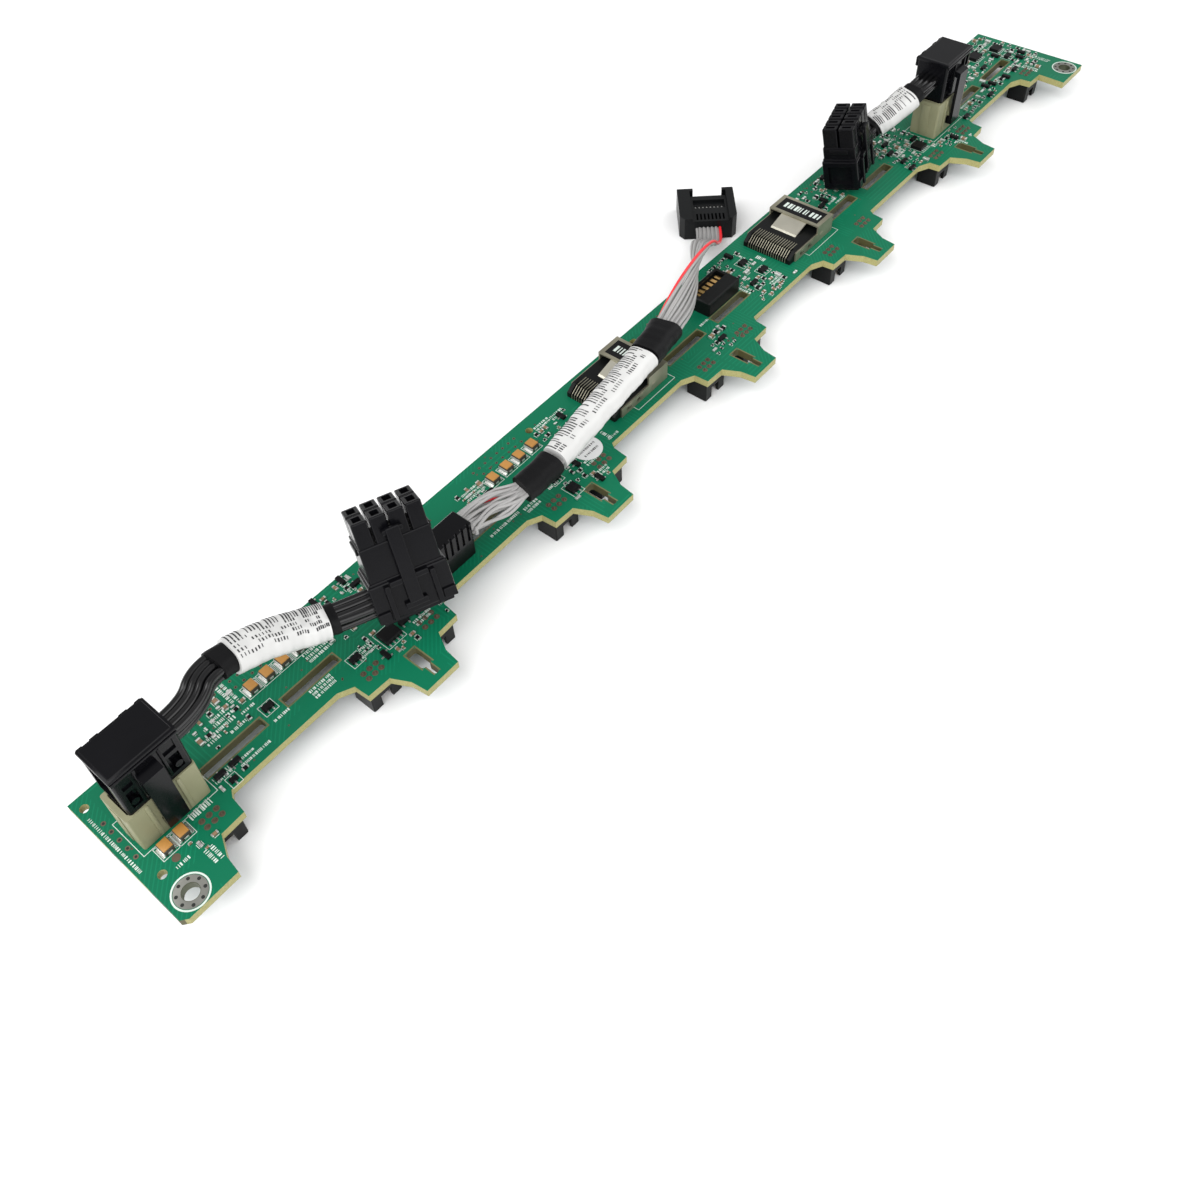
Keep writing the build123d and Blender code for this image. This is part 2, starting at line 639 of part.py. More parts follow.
def signal_connector():
    """Make the far flat connector on the ground: a low middle between two hooked ears."""
    centre = Vector(LEFT + FAR_CENTRE[0], EDGE + FAR_CENTRE[1], 0)
    flat = Plane(origin=centre, x_dir=FAR_ALONG, z_dir=(0, 0, 1))
    half = FAR_L / 2
    side = FAR_W / 2
    tip = half + EAR_TIP
    middle_t = FAR_T - EAR_STEP
    with BuildPart() as body:
        with BuildSketch(flat):
            with Locations((-0.3, (EAR_W[0] - EAR_W[1]) / 2)):
                Rectangle(FAR_L - 0.6, FAR_W - EAR_W[0] - EAR_W[1] + 0.2)
        extrude(amount=middle_t)
        with BuildSketch(flat):
            with BuildLine():
                Polyline([(-half + 2.0, -side), (tip, -side), (tip, -side + EAR_W[0] + 1.2),
                          (tip - 1.4, -side + EAR_W[0] + 1.2), (tip - 1.4, -side + EAR_W[0]),
                          (-half, -side + EAR_W[0]), (-half, -side + 1.6)], close=True)
            make_face()
            with BuildLine():
                Polyline([(-half + 2.0, side), (tip, side), (tip, side - EAR_W[1] - 1.2),
                          (tip - 1.4, side - EAR_W[1] - 1.2), (tip - 1.4, side - EAR_W[1]),
                          (-half, side - EAR_W[1]), (-half, side - 1.6)], close=True)
            make_face()
        extrude(amount=FAR_T)
        with BuildSketch(flat.offset(middle_t)) as tray:
            with Locations((half - 5.2, (EAR_W[0] - EAR_W[1]) / 2)):
                Rectangle(4.6, FAR_W - EAR_W[0] - EAR_W[1] - 1.6)
        extrude(tray.sketch, amount=-1.0, mode=Mode.SUBTRACT)
        with BuildSketch(flat.offset(middle_t)) as windows:
            with Locations((half - 5.6, (EAR_W[0] - EAR_W[1]) / 2)):
                with GridLocations(1, FAR_PITCH, 1, FAR_PINS):
                    Rectangle(1.8, 0.7)
            with Locations((-half + 2.6, (EAR_W[0] - EAR_W[1]) / 2)):
                with GridLocations(1, FAR_PITCH, 1, FAR_PINS):
                    Rectangle(3.4, 0.6)
        extrude(windows.sketch, amount=-2.2, mode=Mode.SUBTRACT)
    return body.part


def board_connector():
    """Make the low black connector: a chamfered block with a stepped well on top."""
    high = REAR_FACE + BOARD_CONNECTOR_H
    start, stop = BOARD_CONNECTOR_X
    near, back = BOARD_CONNECTOR_Y
    with BuildPart() as body:
        slab((start, stop), (near, back), (REAR_FACE, high), 0.5)
        chamfer(body.edges().group_by(Axis.Z)[-1], 0.4)
        well_y = (back - 4.6, back - 1.2)
        slab((start + 1.4, stop - 1.4), well_y, (high - CONTACT_WELL, high), mode=Mode.SUBTRACT)
    return body.part


def board_connector_contacts():
    floor = REAR_FACE + BOARD_CONNECTOR_H - CONTACT_WELL
    spots = [(BOARD_CONNECTOR_X[0] + 2.6 + i * 2.1, BOARD_CONNECTOR_Y[1] - 2.9) for i in range(6)]
    with BuildPart() as body:
        with BuildSketch(Plane.XY.offset(floor)):
            with Locations([at(*p) for p in spots]):
                Rectangle(1.2, 2.4)
        extrude(amount=0.5)
    return body.part


def foam_pad(x):
    with BuildPart() as body:
        slab((x, x + FOAM_L), FOAM_Y, (DRIVE_FACE - FOAM_T, DRIVE_FACE), 0.6)
    return body.part


def lumps(items, rear=True):
    """Make a group of small components, each a block with bevelled edges away from the board."""
    with BuildPart() as body:
        for x, y, length, width, height in items:
            base = REAR_FACE if rear else DRIVE_FACE - height
            slab((x - length / 2, x + length / 2), (y - width / 2, y + width / 2), (base, base + height))
        chamfer(body.edges().group_by(Axis.Z)[-1 if rear else 0], 0.15)
    return body.part


def capacitors():
    """Make the two rows of moulded capacitors and the pair by the left end."""
    rows = [(drive_x(0) + x, FIRST_CAPS_Y) for x in FIRST_CAPS]
    rows += [(drive_x(1) + x, SECOND_CAPS_Y) for x in SECOND_CAPS]
    rows += [(tab_x(0) + x, END_CAPS_Y) for x in END_CAPS]
    return lumps([(x, y, *CAP_SIZE) for x, y in rows])


def anchored(anchor, chips):
    """Shift a row of small parts along the board to its anchor."""
    return [(anchor + x, *rest) for x, *rest in chips]


def rear_chips():
    """Make the small parts of the rear face, each row tied to what it serves."""
    rows = anchored(tab_x(1), FIRST_TAB_CHIPS) + anchored(tab_x(2), SECOND_TAB_CHIPS)
    rows += anchored(drive_x(0), SLOT_CHIPS) + anchored(PORT_XS[1], PORT_CHIPS)
    rows += anchored(POWER_X + POWER_PITCH, PLUG_CHIPS) + anchored(BOARD_L, RIGHT_END_CHIPS)
    return lumps(rows)


def drive_side_chips():
    """Make the small parts of the drive side: three behind each receptacle and one between neighbours."""
    rows = [chip for i in range(DRIVES) for chip in anchored(drive_x(i), DRIVE_CHIPS)]
    rows += [chip for i in range(DRIVES - 1) for chip in anchored(drive_x(i), GUIDE_CHIPS)]
    return lumps(rows, rear=False)


def solder_tails():
    """Make the soldered pin ends: fan socket pins on the rear face, signal pins on the drive face."""
    with BuildPart() as body:
        with BuildSketch(Plane.XY.offset(REAR_FACE)):
            with Locations([at(*p) for p in fan_pin_spots()]):
                Circle(0.45)
        extrude(amount=0.7, taper=20)
        with BuildSketch(Plane.XY.offset(DRIVE_FACE)) as under:
            with Locations([at(*p) for p in signal_spots()]):
                Circle(0.45)
        extrude(under.sketch, amount=-0.9, taper=15)
    return body.part


def side_entry(base, along, wide, side, rise):
    """Give the point on a free connector's narrow side where its wires go in."""
    return base + wide * (side * (FREE_W + FREE_FLARE) / 2) + along * rise


def lead_one_route():
    """Route lead 1 from its plug over the board and into the side of its connector."""
    start = over(POWER_X + POWER_L - PLUG_IN[1], PLUG_EXIT_Y, POWER_H + PLUG_EXIT_H)
    base = start + Vector(60.5, -11.5, -10.5)
    end = side_entry(base, LEAN_ONE, WIDE_ONE, -1, 4.5)
    points = [start, start + Vector(EXIT_RUN, 0, 0), start + Vector(13.3, 3.8, 2.6)]
    points += [start + Vector(28.4, 2.6, -1.6), start + Vector(38.6, -0.4, -5.4)]
    return points + [end - WIDE_ONE * EXIT_RUN, end], base


def lead_two_route():
    """Route lead 2 from its plug to the near side of its connector."""
    start = over(POWER_X + POWER_PITCH + PLUG_IN[0], PLUG_EXIT_Y, POWER_H + PLUG_EXIT_H)
    base = over(POWER_X + POWER_PITCH - FREE_TWO_IN, -12.4, 2.6)
    end = side_entry(base, LEAN_TWO, WIDE_TWO, 1, 6.0)
    sag = start + Vector(-16.4, 4.3, -6.2)
    return [start, start - Vector(EXIT_RUN, 0, 0), sag, end + WIDE_TWO * EXIT_RUN, end], base


def signal_route():
    """Route the signal cable from its plug past the ports and over the edge to its connector."""
    start = over(SIGNAL_X[1], (SIGNAL_Y[0] + SIGNAL_Y[1]) / 2, SIGNAL_H + SIGNAL_PLUG_H / 2)
    tail = Vector(LEFT + FAR_CENTRE[0], EDGE + FAR_CENTRE[1], FAR_T / 2) - FAR_ALONG * (FAR_L / 2)
    bends = [(14.9, -4.4, 0.9), (24.4, -5.0, 1.5), (34.4, -4.4, 2.4), (47.4, -3.2, 3.5), (60.4, -2.1, 4.3)]
    bends += [(71.9, -0.8, 4.7), (83.4, 1.0, 4.6), (96.4, 4.8, 3.9), (109.4, 9.8, 2.9)]
    bends += [(120.9, 15.3, 1.5), (130.7, 20.8, -1.7), (138.4, 25.2, -7.3)]
    points = [start, start + Vector(EXIT_RUN, 0, 0)] + [start + Vector(*bend) for bend in bends]
    return points + [tail - FAR_ALONG * EXIT_RUN, tail]


LEAN_ONE = Vector(0.15, 0.38, 0.912).normalized()
WIDE_ONE = (Vector(0.915, -0.40, 0) - LEAN_ONE * Vector(0.915, -0.40, 0).dot(LEAN_ONE)).normalized()
LEAN_TWO = Vector(-0.067, 0.193, 0.979).normalized()
WIDE_TWO = (Vector(0.961, 0.277, 0) - LEAN_TWO * Vector(0.961, 0.277, 0).dot(LEAN_TWO)).normalized()

save("pcb", board())
for i in range(DRIVES):
    save(f"drive_receptacle_{i + 1}", drive_receptacle(i))
    save(f"spring_header_{i + 1}", spring_header(i))
save("drive_contacts", drive_contacts())
save("spring_contacts", spring_contacts())
for i, fan_x in enumerate(fan_xs()):
    save(f"fan_socket_{i + 1}", fan_socket(fan_x))
save("fan_pins", fan_pins())
for i, port_x in enumerate(PORT_XS):
    save(f"mini_sas_cage_{i + 1}", port_cage(port_x))
    save(f"mini_sas_body_{i + 1}", port_body(port_x))
    save(f"mini_sas_flap_{i + 1}", port_flap(port_x))
for i in range(2):
    power_x = POWER_X + i * POWER_PITCH
    save(f"power_header_{i + 1}", power_header(power_x))
save("power_pins", power_pins())
save("power_plug_1", power_plug(POWER_X, 1))
save("power_plug_2", power_plug(POWER_X + POWER_PITCH, -1))

lead_one, base_one = lead_one_route()
lead_two, base_two = lead_two_route()
save("power_lead_1", tube(lead_one, LEAD_D))
save("power_lead_2", tube(lead_two, LEAD_D))
lead_bore = LEAD_D + 2 * BORE_GAP
save("power_sleeve_1", collar(lead_one, 2.38, 4.5, SLEEVE_W, SLEEVE_T, lead_bore, Vector(0.25, 0.9, 0)))
save("power_sleeve_2", collar(lead_two, 1.3, 2.66, SLEEVE_W, SLEEVE_T, lead_bore, Vector(0.25, 0.9, 0)))
save("power_connector_1", free_connector(base_one, LEAN_ONE, WIDE_ONE, FREE_L, 4, -1))
save("power_connector_2", free_connector(base_two, LEAN_TWO, WIDE_TWO, FREE_TWO_L, 5, 1))

save("signal_header", signal_header())
save("signal_pins", signal_pins())
save("signal_plug", signal_plug())
signal_points = signal_route()
signal_bore = SIGNAL_D + 2 * BORE_GAP
across = Vector(0, 1, 0)
save("signal_cable", tube(signal_points, SIGNAL_D))
save("signal_band_1", collar(signal_points, 2.5, 3.5, LABEL_W - 1.4, LABEL_T, signal_bore, across))
save("signal_sleeve", collar(signal_points, 3.52, 7.5, LABEL_W, LABEL_T, signal_bore, across))
save("signal_band_2", collar(signal_points, 7.52, 8.5, LABEL_W + 0.8, LABEL_T, signal_bore, across))
save("signal_connector", signal_connector())
save("board_connector", board_connector())
save("board_connector_contacts", board_connector_contacts())
save("foam_pad_1", foam_pad(FOAM_IN))
save("foam_pad_2", foam_pad(FOAM_IN + POWER_PITCH))
save("rear_capacitors", capacitors())
save("rear_chips", rear_chips())
save("drive_side_chips", drive_side_chips())
save("solder_tails", solder_tails())
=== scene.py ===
import logging
import math
import random
from dataclasses import dataclass, field
from enum import Enum
from functools import cache
from typing import Iterable, Sequence

import bmesh
import bpy
from mathutils import Matrix, Vector
from mathutils.bvhtree import BVHTree


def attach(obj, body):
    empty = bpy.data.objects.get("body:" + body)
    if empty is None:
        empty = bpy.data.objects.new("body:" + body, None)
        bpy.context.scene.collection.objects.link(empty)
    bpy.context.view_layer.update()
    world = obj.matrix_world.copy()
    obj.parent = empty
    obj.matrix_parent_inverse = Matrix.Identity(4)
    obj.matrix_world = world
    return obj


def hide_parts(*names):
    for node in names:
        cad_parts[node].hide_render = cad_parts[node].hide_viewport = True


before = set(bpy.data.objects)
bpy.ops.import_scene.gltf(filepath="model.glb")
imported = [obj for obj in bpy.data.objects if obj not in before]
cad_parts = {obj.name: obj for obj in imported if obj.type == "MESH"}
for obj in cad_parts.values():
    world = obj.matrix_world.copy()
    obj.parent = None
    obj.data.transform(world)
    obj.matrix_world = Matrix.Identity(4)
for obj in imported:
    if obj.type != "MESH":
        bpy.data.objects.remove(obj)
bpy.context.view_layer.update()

logging.basicConfig(level=logging.INFO, format="%(message)s")
log = logging.getLogger("backplane")

Point = tuple[float, float, float]
Station = tuple[Vector, Vector, Vector]
Span = tuple[float, float]
Socket = bpy.types.NodeSocket
Inputs = dict[str | int, Socket | float | tuple[float, ...]]

MM = 0.001
# The board in mm: x from its left end, y from its straight edge, z from its rear face.
# EDGE_Y and REAR_Z are that edge and that face in the frame.
BOARD_L = 418.0
EDGE_Y = 20.9
REAR_Z = 9.3
BOARD_T = 2.3
TABS = 7
TAB_FIRST = 9.4
TAB_PITCH = 67.0
DRIVES = 5
DRIVE_FIRST = 25.5
DRIVE_PITCH = 85.2
FAN_SOCKETS = 12
END_HOLES_X = (5.4, BOARD_L - 5.4)
END_HOLE_Y = -37.4
PLUG_STARTS = (4.8, 342.8)
HEADER_TOP = 12.8
PLUG_H = 14.2
PORT_STARTS = (166.5, 254.0)
PORT_Y = -12.5
MARK_T = 0.02
OUTLINE_W = 0.16
TO_FRAME = Matrix.Translation((-BOARD_L / 2 * MM, EDGE_Y * MM, REAR_Z * MM)) @ Matrix.Scale(MM, 4)

# The cords' routes in frame metres, with the same points as their CAD tubes.
LEAD_ONE = (
    (-0.18630, 0.00490, 0.02930), (-0.17930, 0.00490, 0.02930), (-0.17300, 0.00870, 0.03190),
    (-0.15790, 0.00750, 0.02770), (-0.14770, 0.00450, 0.02390), (-0.14051, 0.00173, 0.02268),
    (-0.13408, -0.00104, 0.02278),
)
LEAD_TWO = (
    (0.13520, 0.00490, 0.02930), (0.12820, 0.00490, 0.02930), (0.11880, 0.00920, 0.02310),
    (0.11018, 0.01433, 0.01795), (0.10346, 0.01238, 0.01788),
)
SIGNAL = (
    (-0.10040, 0.00170, 0.01780), (-0.09340, 0.00170, 0.01780), (-0.08550, -0.00270, 0.01870),
    (-0.07600, -0.00330, 0.01930), (-0.06600, -0.00270, 0.02020), (-0.05300, -0.00150, 0.02130),
    (-0.04000, -0.00040, 0.02210), (-0.02850, 0.00090, 0.02250), (-0.01700, 0.00270, 0.02240),
    (-0.00400, 0.00650, 0.02170), (0.00900, 0.01150, 0.02070), (0.02050, 0.01700, 0.01930),
    (0.03030, 0.02250, 0.01610), (0.03800, 0.02690, 0.01050), (0.04648, 0.03098, 0.00400),
    (0.05180, 0.03553, 0.00400),
)


class Layer(Enum):
    """Levels of the flat marks, in mm above the rear face."""

    PAD = 0.02
    HOLE = 0.035
    PRINT = 0.045


class Surface:
    """A material under construction: a principled shader fed from object coordinates."""

    def __init__(self, name: str) -> None:
        """Start the material.

        Args:
            name: The material's name.
        """
        self.material = bpy.data.materials.new(name)
        self.material.use_nodes = True
        self.nodes = self.material.node_tree.nodes
        self.shader = self.nodes["Principled BSDF"]
        self.coords = self.nodes.new("ShaderNodeTexCoord").outputs["Object"]

    def feed(self, node: bpy.types.Node, inputs: Inputs) -> None:
        """Link or set a node's inputs.

        Args:
            node: The node.
            inputs: What each input takes, by name or number: a socket, a number or a vector.
        """
        for key, value in inputs.items():
            if isinstance(value, Socket):
                self.material.node_tree.links.new(value, node.inputs[key])
            else:
                node.inputs[key].default_value = value

    def node(self, kind: str, inputs: Inputs) -> bpy.types.Node:
        """Add a node.

        Args:
            kind: The node's type.
            inputs: What its inputs take.

        Returns:
            The node.
        """
        made = self.nodes.new(kind)
        self.feed(made, inputs)
        return made

    def noise(self, scale: float, detail: float = 2.0) -> Socket:
        """Add noise on the object coordinates and give its level."""
        inputs = {"Scale": scale, "Detail": detail, "Vector": self.coords}
        return self.node("ShaderNodeTexNoise", inputs).outputs["Fac"]

    def maths(self, operation: str, first: Socket, second: Socket | float) -> Socket:
        """Add a maths step.

        Args:
            operation: The step's kind.
            first: What it works on.
            second: What it works with.

        Returns:
            Its result.
        """
        node = self.node("ShaderNodeMath", {0: first, 1: second})
        node.operation = operation
        return node.outputs[0]

    def over(self, level: Socket, value: float) -> Socket:
        """Give 1 where a level is over a value, or else 0."""
        return self.maths("GREATER_THAN", level, value)

    def under(self, level: Socket, value: float) -> Socket:
        """Give 1 where a level is under a value, or else 0."""
        return self.maths("LESS_THAN", level, value)

    def between(self, level: Socket, low: float, high: float) -> Socket:
        """Give 1 where a level lies between two values, or else 0."""
        return self.maths("MULTIPLY", self.over(level, low), self.under(level, high))

    def mix(self, factor: Socket, low: Socket | Point, high: Socket | Point, kind: str = "RGBA") -> Socket:
        """Mix two colours or two levels.

        Args:
            factor: How much of the second to show.
            low: The first colour or level.
            high: The second colour or level.
            kind: The node's data type, RGBA or FLOAT.

        Returns:
            The mixed colour or level.
        """
        node = self.nodes.new("ShaderNodeMix")
        node.data_type = kind
        wanted = "VALUE" if kind == "FLOAT" else kind
        self.feed(node, {"Factor": factor})
        for name, value in (("A", low), ("B", high)):
            index = [i for i, s in enumerate(node.inputs) if s.name == name and s.type == wanted][0]
            self.feed(node, {index: value if isinstance(value, Socket) else (*value, 1)})
        return [s for s in node.outputs if s.type == wanted][0]

    def bump(self, height: Socket, strength: float, distance: float) -> None:
        """Raise the surface by a level.

        Args:
            height: The level.
            strength: How much of it shows.
            distance: Its full height in metres.
        """
        inputs = {"Strength": strength, "Distance": distance, "Height": height}
        self.feed(self.shader, {"Normal": self.node("ShaderNodeBump", inputs).outputs["Normal"]})


@dataclass(frozen=True)
class Finish:
    """A procedural surface: a base colour broken up by noise, with a fine bump."""

    name: str
    colour: Point
    roughness: float = 0.5
    metallic: float = 0.0
    coat: float = 0.0
    mottle: float = 0.12
    grain: float = 900.0
    bump: float = 0.08
    specular: float = 0.5
    rough_spread: float = 0.08
    coat_roughness: float = 0.15
    bump_height: float = 0.0002

    def build(self) -> bpy.types.Material:
        """Make or fetch the material.

        Returns:
            The material, with its noise on object coordinates.
        """
        found = bpy.data.materials.get(self.name)
        if found:
            return found
        surface = Surface(self.name)
        fine = surface.noise(self.grain, 4.0)
        ramp = surface.node("ShaderNodeValToRGB", {"Fac": surface.noise(self.grain / 9)})
        dark = [c * (1 - self.mottle) for c in self.colour]
        light = [min(1.0, c * (1 + self.mottle)) for c in self.colour]
        for element, position, colour in zip(ramp.color_ramp.elements, (0.3, 0.7), (dark, light)):
            element.position = position
            element.color = (*colour, 1)
        spread = surface.node("ShaderNodeMapRange", {
            "Value": fine,
            "To Min": max(0.02, self.roughness - self.rough_spread),
            "To Max": min(1.0, self.roughness + self.rough_spread),
        })
        surface.bump(fine, self.bump, self.bump_height)
        surface.feed(surface.shader, {
            "Base Color": ramp.outputs["Color"],
            "Roughness": spread.outputs["Result"],
            "Metallic": self.metallic,
            "Coat Weight": self.coat,
            "Coat Roughness": self.coat_roughness,
            "Specular IOR Level": self.specular,
        })
        return surface.material


BLACK_NYLON = Finish("black nylon", (0.0045, 0.005, 0.005), 0.36, bump=0.05, specular=0.14)
PLUG_BLACK = Finish("plug black", (0.003, 0.003, 0.004), 0.2, bump=0.02, specular=0.16)
CHARCOAL = Finish("charcoal nylon", (0.0045, 0.005, 0.0055), 0.32, bump=0.05, specular=0.16)
BEIGE = Finish("beige nylon", (0.25, 0.245, 0.145), 0.5, mottle=0.06)
GOLD = Finish("gold contact", (0.80, 0.52, 0.20), 0.25, metallic=1.0)
TIN = Finish("dull tin", (0.31, 0.295, 0.22), 0.40, metallic=0.7, mottle=0.25)
FLAP = Finish("latch flap", (0.52, 0.50, 0.42), 0.32, metallic=0.75, mottle=0.1)
SOLDER = Finish("solder", (0.42, 0.41, 0.37), 0.3, metallic=0.85)
PLATE = Finish("plated ring", (0.36, 0.36, 0.33), 0.4, metallic=1.0, mottle=0.35)
# Painted shade: the barrel walls inside the end holes, much darker than the plated ring, for the shade
# inside the holes.
SHADED_BARREL = Finish("painted shade barrel", (0.10, 0.11, 0.07), 0.5, metallic=0.5, mottle=0.3)
BRONZE = Finish("bronze pin end", (0.135, 0.10, 0.07), 0.38, metallic=0.5, mottle=0.25)
WIRE_BLACK = Finish("black wire", (0.003, 0.003, 0.0035), 0.16, mottle=0.05, specular=0.45)
WIRE_GREY = Finish("grey wire", (0.32, 0.315, 0.31), 0.36, mottle=0.05)
WIRE_RED = Finish("red wire", (0.80, 0.02, 0.03), 0.36, mottle=0.05)
LABEL = Finish("label film", (0.56, 0.56, 0.55), 0.33, mottle=0.03, coat=0.2)
TAPE = Finish("black tape", (0.0035, 0.0035, 0.004), 0.5, grain=2600.0, bump=0.3, specular=0.14)
FOAM = Finish("foam", (0.03, 0.03, 0.032), 0.95, grain=2600.0, bump=0.7)
TAN = Finish("capacitor tan", (0.42, 0.20, 0.045), 0.42)
CAP_SIDE = Finish("capacitor side", (0.045, 0.040, 0.030), 0.5)
CHIP = Finish("chip", (0.005, 0.005, 0.0055), 0.45, bump=0.1, specular=0.15)
BROWN = Finish("ceramic brown", (0.21, 0.13, 0.075), 0.45, mottle=0.2)
PRINT = Finish("board print", (0.56, 0.63, 0.58), 0.55, mottle=0.08)
HOLE = Finish("via hole", (0.012, 0.014, 0.012), 0.8)
BAR = Finish("label bar", (0.02, 0.02, 0.022), 0.5)
LAMINATE = Finish("bare laminate", (0.12, 0.11, 0.045), 0.6, mottle=0.2)
STICKER = Finish("sticker", (0.66, 0.66, 0.66), 0.4, mottle=0.02)
FLOOR = Finish("floor", (0.90, 0.90, 0.90), 0.75, mottle=0.01, grain=30.0, bump=0.0)


def trace_lines(mask: Surface, turn: float, pitch: float) -> Socket:
    """Draw thin straight lines like buried traces.

    Args:
        mask: The material that takes them.
        turn: Their turn on the board, in radians.
        pitch: Their pitch in mm.

    Returns:
        1 on the lines and 0 between them.
    """
    mapping = mask.node("ShaderNodeMapping", {"Rotation": (0, 0, turn), "Vector": mask.coords})
    wave_scale = 0.31416 / (pitch * MM)
    inputs = {"Scale": wave_scale, "Distortion": 0.0, "Vector": mapping.outputs["Vector"]}
    return mask.over(mask.node("ShaderNodeTexWave", inputs).outputs["Fac"], 0.80)


def traces(mask: Surface) -> Socket:
    """Share the three sets of lines out over square cells and leave some cells bare.

    Args:
        mask: The material that takes them.

    Returns:
        The strength of the lines.
    """
    cells = mask.node("ShaderNodeTexVoronoi", {"Scale": 95.0, "Vector": mask.coords})
    cells.distance = "CHEBYCHEV"
    pick = mask.node("ShaderNodeSeparateColor", {"Color": cells.outputs["Color"]}).outputs
    along = trace_lines(mask, 0.0, 1.1)
    across = trace_lines(mask, math.pi / 2, 1.3)
    slant = trace_lines(mask, math.pi / 4, 1.0)
    turned = mask.mix(mask.over(pick["Red"], 0.45), across, slant, "FLOAT")
    lines = mask.mix(mask.over(pick["Green"], 0.62), turned, along, "FLOAT")
    shown = mask.maths("MULTIPLY", lines, mask.over(pick["Blue"], 0.35))
    return mask.maths("MULTIPLY", shown, 0.38)


def board_material() -> bpy.types.Material:
    """Make the solder mask: bright green behind, teal on the drive face, olive at the cut edges.

    Returns:
        The material, with fine lighter lines like buried traces and painted shade on the walls of the slots
        and keyholes.
    """
    mask = Surface("solder mask")
    at = mask.node("ShaderNodeSeparateXYZ", {"Vector": mask.coords}).outputs
    fade = traces(mask)
    rear = mask.mix(fade, (0.002, 0.128, 0.062), (0.006, 0.200, 0.100))
    front = mask.mix(fade, (0.002, 0.085, 0.062), (0.008, 0.150, 0.105))
    edge = mask.mix(mask.noise(2600.0), (0.20, 0.19, 0.06), (0.44, 0.41, 0.19))
    # Painted shade: the walls inside the slots and keyholes get a much darker colour than the cut edge, for
    # the shade inside those openings.
    painted_shade_wall = (0.075, 0.07, 0.028)
    slot_low, slot_high = 1.2, 5.1
    slots = mask.between(at["Y"], slot_low * MM, slot_high * MM)
    keyhole_half, keyhole_low, keyhole_high = 3.0, EDGE_Y - 41.2, EDGE_Y - 30.2
    from_tab = mask.maths("ADD", at["X"], (BOARD_L / 2 - TAB_FIRST + keyhole_half) * MM)
    near_tab = mask.under(mask.maths("MODULO", from_tab, TAB_PITCH * MM), 2 * keyhole_half * MM)
    deep = mask.between(at["Y"], keyhole_low * MM, keyhole_high * MM)
    keyholes = mask.maths("MULTIPLY", near_tab, deep)
    wall = mask.mix(keyholes, mask.mix(slots, edge, painted_shade_wall), painted_shade_wall)
    skin = 0.02
    top = mask.over(at["Z"], (REAR_Z - skin) * MM)
    bottom = mask.under(at["Z"], (REAR_Z - BOARD_T + skin) * MM)
    colour = mask.mix(bottom, mask.mix(top, wall, rear), front)
    mask.bump(fade, 0.15, 0.00005)
    mask.feed(mask.shader, {"Base Color": colour, "Roughness": 0.42, "Specular IOR Level": 0.18})
    return mask.material


